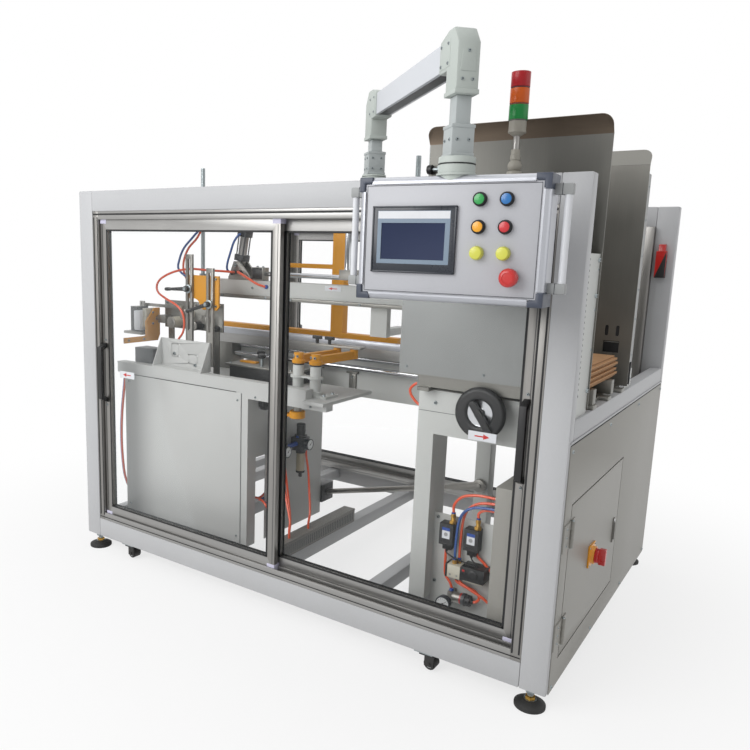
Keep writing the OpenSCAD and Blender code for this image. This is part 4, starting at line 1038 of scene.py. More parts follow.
PANEL = PanelFrame()
ARM = ArmFrame()


class Solids:
    """Finishes of the frame's own solids.

    The limits say where one finish gives way to the next, in millimetres from
    the frame's corner or, for the panel, in the panel's own frame.
    """

    DOOR_RAILS: Pair = (217, 1308)
    PAD_TOP = 46
    FORK_FOOT = 75
    APRON_Y: Pair = (161, 164.9)
    APRON_TOP = 1141
    LIP_FRONT = 164.5
    LIP_FOOT = 1561
    TOWER_AXIS: Pair = (1697, 22)
    POLE_RADIUS = 9
    POLE_Z: Pair = (1500, 1550)
    LAMPS_FOOT = 1578
    LAMP_HEIGHT = 39
    BEAM_HEIGHT = 70
    CASE_TOP = 1423.5
    FACE_HALF = 212
    FACE_Z: Pair = (1150, 1410)
    CASE_BACK = 40
    SCREEN_X = -82
    SCREEN_HALF = 79
    SCREEN_Z: Pair = (1233.5, 1328.5)
    SCREEN_FRONT = -42
    STOP_TOP = 1226
    YELLOW_TOP = 1280
    RING_FRONT = -41.2
    BUTTON_MIDDLE: Pair = (100, 1340)
    WHEEL_AXIS: Pair = (1605, 797)
    DISH_Y: Pair = (144.5, 145.5)
    DISH_RADIUS = 40
    CHANNEL_Z: Pair = (1062, 1075.2)
    KNOB_FOOT = 907.2
    LEVER_BACK = 204.2
    SAFETY_SHARE = 0.45

    # Width of the broken edges by solid, for each finish
    PLAIN: dict[Finish, dict[str, float]] = {
        Finishes.FRAME: {"corner_posts": 4.0, "long_rails": 3.5, "side_rails": 3.0, "cross_beams": 3.0},
        Finishes.ALU_X: {"door_tracks": 0.8, "door_guides": 0.8},
        Finishes.ALU_Z: {"door_jambs": 0.8},
        # The right end's solids take the darker copy of the frame paint, which is painted shade
        Finishes.SHADED_SIDE: {"end_panel": 0.5, "cabinet_shell": 0.8, "cabinet_door": 1.2},
        Finishes.DUCT: {"cabinet_latch": 0.6, "wire_duct": 1.0},
        Finishes.SIGN_YELLOW: {"switch_plate": 0.8},
        Finishes.RED: {"switch_knob": 1.2},
        Finishes.WHITE: {"magazine_angles": 0.6, "pedestal": 2.0, "flap_columns": 1.0},
        Finishes.STAINLESS: {"magazine_bed": 1.0},
        Finishes.BOARD: {"carton_blanks": 0.0},
        Finishes.CAST: {"arm_base": 1.5, "arm_elbows": 5.0},
        Finishes.SLATE: {"panel_caps": 5.0},
        Finishes.GREY: {"panel_handles": 0.0},
        Finishes.TABLE: {"worktable": 2.0},
        Finishes.YELLOW: {
            "gantry": 2.0, "front_flap_arm": 2.0, "rear_flap_arm": 2.0, "forming_brackets": 1.0},
    }

    def __init__(self, cad: CadDress) -> None:
        """Keep the dresser of solids."""
        self.cad = cad

    def dress(self) -> None:
        """Finish every solid."""
        for finish, nodes in self.PLAIN.items():
            for node, edge in nodes.items():
                self.cad.dress(node, finish, edge)
        for side in ("front_left", "front_right", "rear_left", "rear_right"):
            self.cad.dress(side + "_door", Finishes.ALU_Z, 1.0, self._door)
            self.cad.dress(side + "_pane", Finishes.PANE, 0.0)
            self.cad.dress(side + "_handle", Finishes.BLACK, 2.5)
        rules: tuple[tuple[str, Finish, float, Rule], ...] = (
            ("levelling_feet", Finishes.RUBBER, 0.8, self._foot),
            ("casters", Finishes.RUBBER, 0.8, self._caster),
            ("magazine_plates", Finishes.STAINLESS, 0.4, self._hopper),
            ("tower_light", Finishes.LAMP_GREEN, 0.8, self._tower),
            ("arm_tubes", Finishes.TUBE, 3.0, self._tube),
            ("panel_box", Finishes.PANEL, 3.5, self._panel),
            ("touch_screen", Finishes.BEZEL, 1.2, self._screen),
            ("push_buttons", Finishes.CAP_RED, 1.2, self._button),
            ("handwheel", Finishes.BLACK, 0.8, self._wheel),
            ("pneumatic_units", Finishes.BLACK, 1.0, self._unit),
            ("conveyor_rails", Finishes.STAINLESS, 0.8, self._conveyor),
            ("upper_beam", Finishes.WHITE, 0.8, self._beam),
            ("threaded_rods", Finishes.ZINC, 0.5, self._rod),
            ("actuators", Finishes.STEEL, 0.9, self._actuator),
            ("flap_bar", Finishes.STEEL, 0.8, self._flap_bar),
            ("forming_posts", Finishes.STEEL, 0.8, self._post),
            ("air_hoses", Finishes.ORANGE, 0.0, self._hose),
            ("safety_switch", Finishes.BLACK, 1.0, self._safety),
        )
        for node, finish, edge, rule in rules:
            self.cad.dress(node, finish, edge, rule)

    @staticmethod
    def _door(c: Vector, lo: Vector, hi: Vector) -> Finish:
        """Rails are drawn along X, stiles along Z."""
        foot, top = Solids.DOOR_RAILS
        return Finishes.ALU_Z if foot <= c.z <= top else Finishes.ALU_X

    @staticmethod
    def _foot(c: Vector, lo: Vector, hi: Vector) -> Finish:
        """Black pad and cone, zinc stem."""
        return Finishes.RUBBER if c.z < Solids.PAD_TOP else Finishes.ZINC

    @staticmethod
    def _caster(c: Vector, lo: Vector, hi: Vector) -> Finish:
        """Zinc fork over a rubber wheel."""
        return Finishes.ZINC if c.z > Solids.FORK_FOOT else Finishes.RUBBER

    @staticmethod
    def _hopper(c: Vector, lo: Vector, hi: Vector) -> Finish:
        """The apron on the front plate is the paler sheet, the flared lips are darker."""
        front, rear = Solids.APRON_Y
        if front < c.y < rear and c.z < Solids.APRON_TOP:
            return Finishes.APRON
        lip = c.y < Solids.LIP_FRONT and c.z > Solids.LIP_FOOT
        return Finishes.LIP if lip else Finishes.STAINLESS

    @staticmethod
    def _tower(c: Vector, lo: Vector, hi: Vector) -> Finish:
        """Beige base and cup, bare pole, then green, amber and red."""
        if c.z < Solids.LAMPS_FOOT:
            (x, y), (foot, top) = Solids.TOWER_AXIS, Solids.POLE_Z
            pole = math.hypot(c.x - x, c.y - y) < Solids.POLE_RADIUS and foot < c.z < top
            return Finishes.ALU_Z if pole else Finishes.BEIGE
        lamps = (Finishes.LAMP_GREEN, Finishes.LAMP_AMBER, Finishes.LAMP_RED)
        return lamps[min(2, int((c.z - Solids.LAMPS_FOOT) / Solids.LAMP_HEIGHT))]

    @staticmethod
    def _tube(c: Vector, lo: Vector, hi: Vector) -> Finish:
        """Sockets are castings, the beam is a smooth tube."""
        return Finishes.BEAM if hi.z - lo.z < Solids.BEAM_HEIGHT else Finishes.TUBE

    @staticmethod
    def _panel(c: Vector, lo: Vector, hi: Vector) -> Finish:
        """Painted face in a pale edge profile, coupling above."""
        p = PANEL.local(c)
        if p.z > Solids.CASE_TOP:
            return Finishes.CAST
        foot, top = Solids.FACE_Z
        inside = abs(p.x) < Solids.FACE_HALF and foot < p.z < top
        return Finishes.PANEL if inside or p.y > Solids.CASE_BACK else Finishes.ALU_PALE

    @staticmethod
    def _screen(c: Vector, lo: Vector, hi: Vector) -> Finish:
        """Dark display in its bezel."""
        p = PANEL.local(c)
        foot, top = Solids.SCREEN_Z
        inside = abs(p.x - Solids.SCREEN_X) < Solids.SCREEN_HALF and foot < p.z < top
        return Finishes.DISPLAY if inside and p.y > Solids.SCREEN_FRONT else Finishes.BEZEL

    @staticmethod
    def _button(c: Vector, lo: Vector, hi: Vector) -> Finish:
        """Coloured caps in black rings, two yellow ones, and the stop button."""
        p = PANEL.local(c)
        if p.z < Solids.STOP_TOP:
            return Finishes.RED
        if p.z < Solids.YELLOW_TOP:
            return Finishes.CAP_YELLOW
        if p.y > Solids.RING_FRONT:
            return Finishes.BEZEL
        x, z = Solids.BUTTON_MIDDLE
        if p.x < x:
            return Finishes.CAP_GREEN if p.z > z else Finishes.CAP_AMBER
        return Finishes.CAP_BLUE if p.z > z else Finishes.CAP_RED

    @staticmethod
    def _wheel(c: Vector, lo: Vector, hi: Vector) -> Finish:
        """Bright dish in a black wheel."""
        (x, z), (front, rear) = Solids.WHEEL_AXIS, Solids.DISH_Y
        dish = front < c.y < rear and math.hypot(c.x - x, c.z - z) < Solids.DISH_RADIUS
        return Finishes.CHROME if dish else Finishes.BLACK

    @staticmethod
    def _unit(c: Vector, lo: Vector, hi: Vector) -> Finish:
        """Filters on the table's end, valves on the plate."""
        if c.x < 900:
            if abs(c.y - 362) < 49:
                return Finishes.BLUE_TRIM
            if c.x > 788.5:
                return Finishes.DIAL if c.x > 807.5 else Finishes.BEZEL
            if c.z < 475.5:
                return Finishes.BOWL if c.z > 385 else Finishes.BLACK
            return Finishes.BLACK if c.z > 529 else Finishes.DARK
        if c.z > 414.5:
            return Finishes.BRASS
        if 246 < c.z < 300:
            coil = c.z > 290.2 or c.y < 191.5 or c.x > 1632.5
            return Finishes.BLACK if coil else Finishes.CREAM
        if c.z < 200:
            if c.y < 199.5 and c.x < 1535:
                return Finishes.DIAL if c.y < 180.5 else Finishes.BEZEL
            return Finishes.DARK if c.x > 1562 else Finishes.STEEL
        return Finishes.BLACK

    @staticmethod
    def _conveyor(c: Vector, lo: Vector, hi: Vector) -> Finish:
        """Ground guides on sheet brackets, painted back sheet and beam."""
        if c.y > 599.6 and c.z < 868 and 310.5 < c.x < 1384.5:
            return Finishes.WHITE
        return Finishes.CHROME if c.z < 860 and 310.5 < c.x < 1374.5 else Finishes.STAINLESS

    @staticmethod
    def _beam(c: Vector, lo: Vector, hi: Vector) -> Finish:
        """Painted channel on a bare plate."""
        foot, top = Solids.CHANNEL_Z
        return Finishes.STAINLESS if foot <= c.z <= top else Finishes.WHITE

    @staticmethod
    def _rod(c: Vector, lo: Vector, hi: Vector) -> Finish:
        """Ground slide and guide, dull clamp, zinc screws."""
        if c.z < 500 or (c.x > 953.9 and c.z < 1186.1):
            return Finishes.STEEL
        ground = (600 < c.x < 954 and c.z < 1170) or (960 < c.x < 990 and c.z > 1186)
        return Finishes.CHROME if ground else Finishes.ZINC

    @staticmethod
    def _actuator(c: Vector, lo: Vector, hi: Vector) -> Finish:
        """Each housing of the heads has its own finish."""
        if c.z > 1130:
            leaning = math.hypot(c.x - 475 - 0.158 * (c.z - 1187), c.y - 400)
            if c.x < 545 and c.z > 1190 and leaning < 17.5:
                return Finishes.ALU_Z
            return Finishes.DARK if c.x < 545 and c.z > 1204 else Finishes.STEEL
        if c.x > 600 and c.z < 300:
            return Finishes.BLACK
        if c.z < 842:
            return Finishes.DARK if c.z > 756.5 and c.y < 290 else Finishes.STAINLESS
        if c.y > 299.5:
            return Finishes.STAINLESS
        if c.x > 195:
            return Finishes.CREAM if c.x < 325 else Finishes.BLACK
        if c.x < 118 and 904.2 < c.z < 1005:
            if math.hypot(c.y - 275, c.z - 960) < 9.5 and c.x < 20.5:
                return Finishes.CHROME
            return Finishes.BLACK if c.x < 58.2 else Finishes.PALE if c.x < 92.2 else Finishes.CREAM
        return Finishes.STEEL

    @staticmethod
    def _flap_bar(c: Vector, lo: Vector, hi: Vector) -> Finish:
        """Black clamping knobs on a bare bar."""
        return Finishes.BLACK if c.z > Solids.KNOB_FOOT else Finishes.STEEL

    @staticmethod
    def _post(c: Vector, lo: Vector, hi: Vector) -> Finish:
        """Black levers on bare posts."""
        return Finishes.BLACK if c.y < Solids.LEVER_BACK else Finishes.STEEL

    @staticmethod
    def _hose(c: Vector, lo: Vector, hi: Vector) -> Finish:
        """Most lines are orange; one of each group is blue."""
        valve = lo.x > 1400 and hi.z < 600 and lo.y < 206.5
        roof = hi.z > 1380 and lo.y < 318
        press = 1298 < hi.z < 1330
        return Finishes.BLUE if valve or roof or press else Finishes.ORANGE

    @staticmethod
    def _safety(c: Vector, lo: Vector, hi: Vector) -> Finish:
        """Red head on a black body."""
        head = c.z > lo.z + Solids.SAFETY_SHARE * (hi.z - lo.z)
        return Finishes.RED if head else Finishes.BLACK


def aimed(points: Iterable[Triple], aim: Triple) -> list[Spot]:
    """Give all points the same aim."""
    return [(p, aim) for p in points]


def border(lo: Pair, hi: Pair, t: float) -> tuple[tuple[Pair, Pair], ...]:
    """Give the four bars of width t that line a rectangle."""
    (a, c), (b, d) = lo, hi
    return ((a, c), (b, c + t)), ((a, d - t), (b, d)), ((a, c), (a + t, d)), ((b - t, c), (b, d))


def carried(place: Matrix, spots: Iterable[Spot]) -> list[Spot]:
    """Carry local spots to the frame's corner."""
    turn = place.to_3x3()
    return [(tuple(place @ Vector(p)), tuple(turn @ Vector(way))) for p, way in spots]


def round_spots(centre: Triple, axis: int, radius: float, count: int) -> list[Spot]:
    """Set points on a circle, aimed outwards.

    Args:
        centre: middle of the circle.
        axis: 0, 1 or 2 for the axis it turns about.
        radius: its radius.
        count: number of points.

    Returns:
        The spots.
    """
    spots: list[Spot] = []
    for k in range(count):
        t = math.radians(360.0 * k / count)
        way = [0.0, 0.0, 0.0]
        way[(axis + 1) % 3] = math.cos(t)
        way[(axis + 2) % 3] = math.sin(t)
        spots.append((tuple(c + radius * w for c, w in zip(centre, way)), tuple(way)))
    return spots


@dataclass
class Workshop:
    """What every sub-assembly builds with."""

    shop: Paintshop
    repeats: Repeats

    def piece(self, shape: Shape, name: str, body: str, slot: str) -> bpy.types.Object:
        """Finish a shape as a piece on a body."""
        return shape.make(name, body, self.shop)


@dataclass
class FrameTrim:
    """Seams, screws and strips on the painted frame."""

    kit: Workshop
    length: float = 1900.0
    depth: float = 1280.0
    opening: Pair = (75.0, 1825.0)
    opening_top: float = 1375.0
    opening_foot: float = 155.0
    slot_y: Pair = (1.2, 2.6)
    panel_top: float = 775.0
    dot_y: float = 60.0
    dot_z: Pair = (905.0, 1425.0)
    dot_step: float = 19.0
    strip_face: float = 1886.0
    angle_face: float = 1892.0
    angle_top: float = 1262.0

    def build(self) -> None:
        """Make all trim of the frame."""
        self._slots_and_gap_shade()
        self._seams()
        self._dots()
        self._screws()

    def _slot(self, shape: Shape, x: Pair, z: Pair) -> None:
        """Add a dark strip at the front and its mirror image at the rear, for a profile's slot and for
        painted shade in a gap.
        """
        y0, y1 = self.slot_y
        for a, b in ((y0, y1), (self.depth - y1, self.depth - y0)):
            shape.box((x[0], a, z[0]), (x[1], b, z[1]), Finishes.SEAL, 0.3, 1)

    def _slots_and_gap_shade(self) -> None:
        """Dark slots of the aluminium profiles round both door openings, and painted shade in the gaps
        between the jambs and the door stiles.
        """
        shape = Shape()
        x0, x1 = self.opening
        foot, top = self.opening_foot, self.opening_top
        self._slot(shape, (x0 + 2, x1 - 2), (top - 14, top - 8))
        self._slot(shape, (x0 + 2, x1 - 2), (foot + 9, foot + 12))
        # The outer strip of each jamb, at x0 + 4, is the profile's slot; the inner one, at x0 + 24, is
        # painted shade of the gap to the door stile
        for x in (x0 + 4, x0 + 24):
            for a in (x, x0 + x1 - x - 5):
                self._slot(shape, (a, a + 5), (foot + 20, top - 22))
        self.kit.piece(shape, "profile_slots", "frame", "black_plastic")

    def _seams(self) -> None:
        """Joint line of the end panel under the sill, and the sill's lip."""
        shape = Shape()
        x = self.length
        shape.box((x, 20, self.panel_top - 1), (x + 1.2, 1260, self.panel_top + 1.2), Finishes.SEAL)
        shape.box((x, 14, self.panel_top + 5), (x + 3, 1266, self.panel_top + 11), Finishes.FRAME, 1.2)
        self.kit.piece(shape, "sill_lip", "frame", "frame_paint")

    def _dots(self) -> None:
        """Drilled strip beside the magazine's front post."""
        shape = Shape()
        z0, z1 = self.dot_z
        x = self.strip_face
        shape.box((x - 2, 40.2, z0 - 20), (x, 66, z1 + 10), Finishes.WHITE, 0.4)
        shape.box((x - 18, 64, z0 - 20), (x, 66, z1 + 10), Finishes.WHITE, 0.4)
        self.kit.piece(shape, "drilled_strip", "frame", "white_paint")
        heights = [z0 + k * self.dot_step for k in range(int((z1 - z0) / self.dot_step) + 1)]
        dots = [(self.angle_face if z < self.angle_top else self.strip_face, self.dot_y, z) for z in heights]
        self.kit.repeats.heads("strip_holes", "frame", aimed(dots, RIGHT), 8.0, 0.5,
                               Finishes.SEAL, "black_plastic")

    def _screws(self) -> None:
        """Screws of the end panel and of the white angle."""
        x = self.length + 2
        spots = [(x, y, z) for y in (36, 440, 845, 1244) for z in (95, 758)]
        self.kit.repeats.heads("end_panel_screws", "frame", aimed(spots, RIGHT), 11, 3.2)
        spots = [(self.angle_face, y, z) for y, z in ((152, 1244), (152, 1152), (152, 900), (52, 900))]
        self.kit.repeats.heads("angle_screws", "frame", aimed(spots, RIGHT), 12, 4.5)


class Side(Enum):
    """The four sliding doors, by the body that each one is."""

    FRONT_LEFT = "front_left_door"
    FRONT_RIGHT = "front_right_door"
    REAR_LEFT = "rear_left_door"
    REAR_RIGHT = "rear_right_door"


@dataclass
class SlidingDoor:
    """Gasket, corner plugs and screws of one sliding door, and painted shade on the right-hand door's meeting
    stile.
    """

    kit: Workshop
    side: Side
    depth: float = 1280.0
    spans: tuple[Pair, Pair] = ((110.0, 966.0), (934.0, 1790.0))
    depths: tuple[Pair, Pair] = ((10.0, 30.0), (38.0, 58.0))
    foot: float = 165.3
    top: float = 1360.0
    stile: float = 32.0
    rail: float = 52.0

    @property
    def left(self) -> bool:
        """Whether this is the outer, left-hand door of its pair."""
        return self.side in (Side.FRONT_LEFT, Side.REAR_LEFT)

    @property
    def span(self) -> Pair:
        """The door's two ends along X."""
        return self.spans[0] if self.left else self.spans[1]

    @property
    def faces(self) -> Pair:
        """The door's outer and inner face along Y."""
        y0, y1 = self.depths[0] if self.left else self.depths[1]
        front = self.side in (Side.FRONT_LEFT, Side.FRONT_RIGHT)
        return (y0, y1) if front else (self.depth - y0, self.depth - y1)

    def build(self) -> None:
        """Make the door's trim."""
        x0, x1 = self.span
        outer, inner = self.faces
        out = -1.0 if outer < inner else 1.0
        name = self.side.value
        seal = Shape()
        a, b = x0 + self.stile, x1 - self.stile
        c, d = self.foot + self.rail, self.top - self.rail
        for face, way in ((outer, out), (inner, -out)):
            y = sorted((face, face + 0.8 * way))
            seal.bars((((a - 1, c), (a + 5, d)), ((b - 5, c), (b + 1, d)),
                       ((a, c - 1), (b, c + 5)), ((a, d - 5), (b, d + 1))), y, Finishes.SEAL)
            lines = [((x, self.foot + 32), (x + 1.5, self.top - 32)) for x in (x0 + 9, x1 - 10.5)]
            seal.bars(lines, y, Finishes.DARK)
        # Black strips over the right-hand door's meeting stile are painted shade, where it lies behind the
        # left door's stile
        if not self.left:
            strips = (((x0 + 1, c), (x0 + 14, d)), ((x0 + 16, c), (x0 + self.stile, d)))
            seal.bars(strips, sorted((outer, outer + 0.7 * out)), Finishes.SEAL)
        self.kit.piece(seal, name + "_seal", name, "black_plastic")
        caps = Shape()
        corners = [((u0, w0), (u1, w1)) for u0, u1 in ((x0 - 0.6, a), (b, x1 + 0.6))
                   for w0, w1 in ((self.foot - 0.5, self.foot + 30), (self.top - 30, self.top + 0.5))]
        caps.bars(corners, sorted((outer + out, inner - out)), Finishes.LILAC, 1.5)
        self.kit.piece(caps, name + "_plugs", name, "panel_grip")
        hx = x0 + 16 if self.left else x1 - 16
        spots = [(hx, outer + out * 0.4, z) for z in (634.0, 891.0)]
        self.kit.repeats.heads(name + "_screws", name, aimed(spots, (0, out, 0)), 9, 2.5)


@dataclass
class TowerTrim:
    """Rings, cap and neck of the tower light."""

    kit: Workshop
    x: float = 1697.0
    y: float = 22.0
    foot: float = 1450.0
    cup_z: float = 1553.0
    lamp_z: float = 1583.0
    lamp_h: float = 39.0
    lamp_r: float = 23.5

    def build(self) -> None:
        """Make the tower light's trim."""
        shape = Shape()
        for k in range(3):
            z = self.lamp_z + k * self.lamp_h - 4
            shape.lathe((self.x, self.y, z), UP,
                        [(21.5, 1.2), (self.lamp_r - 0.6, 1.3), (self.lamp_r - 0.6, 2.6), (21.5, 2.7)],
                        Finishes.DARK, 32)
        shape.lathe((self.x, self.y, self.cup_z), UP, [(21.2, -0.4), (22.2, 0.4), (22.2, 3.6), (21.2, 4.4)],
                    Finishes.BEIGE, 32)
        shape.lathe((self.x, self.y, self.foot), UP,
                    [(19, 0.2), (19, 6), (17.5, 8.5), (12, 10)], Finishes.BEIGE, 32)
        shape.lathe((self.x, self.y, self.foot + 36), UP,
                    [(9, 0), (12.5, 1), (12.5, 12), (9.5, 14)], Finishes.BEIGE, 28)
        self.kit.piece(shape, "tower_trim", "frame", "tower_grey")
        ribs = round_spots((self.x, self.y, self.cup_z), 2, 21.4, 24)
        self.kit.repeats.blocks("tower_ribs", "frame", ribs, (1.6, 3.0, 1.2), Finishes.BEIGE, "tower_grey")


@dataclass
class PanelArmTrim:
    """Hatches, collars, grooves and screws of the swivel arm."""

    kit: Workshop
    socket: float = 54.0
    rear_socket_z: float = 1491.3
    drop_socket_z: float = 1465.3
    elbow_z: float = 1597.0
    elbow_half: Pair = (32.0, 27.0)
    beam_foot: float = 1661.0
    beam_span: Pair = (78.0, 608.0)
    plate_top: float = 1445.0

    def build(self) -> None:
        """Make the arm's trim."""
        for name, place, z in (("rear", ARM.place(), self.rear_socket_z),
                               ("drop", ARM.drop(), self.drop_socket_z)):
            self._casting(name, place, z)
        self._screws()
        self._rings()
        groove = Shape(ARM.place())
        x0, x1 = self.beam_span
        z = self.beam_foot
        groove.box((x0 + 6, -15, z - 0.8), (x1 - 6, 15, z + 0.4), Finishes.DARK, 0.3, 1)
        self.kit.piece(groove, "beam_groove", "panel_arm", "white_paint")

    def _casting(self, name: str, place: Matrix, socket_z: float) -> None:
        """Hatch flap, collar and cover of one elbow, and the lips of its socket.

        Args:
            name: which end of the arm.
            place: carries the casting's points, +X along the beam.
            socket_z: foot of the socket below the elbow.
        """
        hx, hy = self.elbow_half
        z = self.elbow_z
        shape = Shape(place)
        flap = [(-19, z + 48), (19, z + 48), (14, z + 98), (-14, z + 98)]
        shape.plate(flap, (-hx - 1.4, 0, 0), REAR, UP, 1.6, Finishes.CAST, 0.4)
        shape.box((-hx - 1.6, -hy - 1.6, z + 0.5), (hx + 1.6, hy + 1.6, z + 11), Finishes.CAST, 1.4)
        shape.box((12, -hy - 0.8, z + 66), (72, hy + 0.8, z + 124), Finishes.CAST, 0.5)
        shape.box((-2, -22, z + 143.0), (30, 22, z + 144.8), Finishes.CAST, 0.6)
        w = self.socket / 2
        shape.box((-w - 1.2, -w - 1.2, socket_z + 61), (w + 1.2, w + 1.2, socket_z + 69), Finishes.TUBE, 1.2)
        shape.box((-w - 1.0, -w - 1.0, socket_z + 0.5), (w + 1.0, w + 1.0, socket_z + 7), Finishes.TUBE, 1.0)
        self.kit.piece(shape, name + "_elbow_cover", "panel_arm", "white_paint")

    def _screws(self) -> None:
        """Socket screws of the castings."""
        spots: list[Spot] = []
        w = self.socket / 2
        hx, hy = self.elbow_half
        z = self.elbow_z
        for place, foot, rows in ((ARM.place(), self.rear_socket_z, (18, 50)),
                                  (ARM.drop(), self.drop_socket_z, (36,))):
            local: list[Spot] = []
            for wx, wy in ((-1, 0), (1, 0), (0, -1), (0, 1)):
                local += aimed([(wx * w - wy * side, wy * w + wx * side, foot + up)
                                for side in (-14, 14) for up in rows], (wx, wy, 0))
            local += aimed([(-hx, -12, z + 31), (-hx, 12, z + 31), (-hx - 1.4, 0, z + 90)], LEFT)
            for sy in (-1, 1):
                cover = [(x, sy * (hy + 0.8), z + up) for up in (74, 116) for x in (22, 64)]
                local += aimed(cover, (0, sy, 0))
            spots += carried(place, local)
        self.kit.repeats.heads("arm_screws", "panel_arm", spots, 8, 2.0)

    def _rings(self) -> None:
        """Ring grooves of the two swivels and the screws of the base plate."""
        base = Shape()
        for z, profile, finish in (
                (1474, [(41, 0), (43.4, 0.6), (43.4, 3.6), (39, 4.4)], Finishes.CAST),
                (1484, [(37, 0), (38.4, 0.3), (38.4, 2), (37, 2.3)], Finishes.SEAL),
                (self.plate_top, [(44, -0.5), (52, 0), (52, 4), (50, 6), (44, 7)], Finishes.CAST)):
            base.lathe((ARM.x, ARM.y, z), UP, profile, finish, 40)
        self.kit.piece(base, "base_rings", "frame", "white_paint")
        spots = aimed([(x, ARM.y + s * 34, self.plate_top) for x in (974.0, 1234.0) for s in (-1, 1)], UP)
        self.kit.repeats.heads("base_screws", "frame", spots, 14, 6)
        drop = Shape(PANEL.place())
        drop.lathe((0, 0, 1423), UP, [(41, 0), (45.5, 0.8), (45.5, 5), (42.5, 6.5)], Finishes.CAST, 40)
        drop.lathe((0, 0, 1448), UP, [(41.5, 0), (42.4, 0.3), (42.4, 2.2), (41.5, 2.5)], Finishes.SEAL, 40)
        self.kit.piece(drop, "panel_rings", "operator_panel", "panel_case")


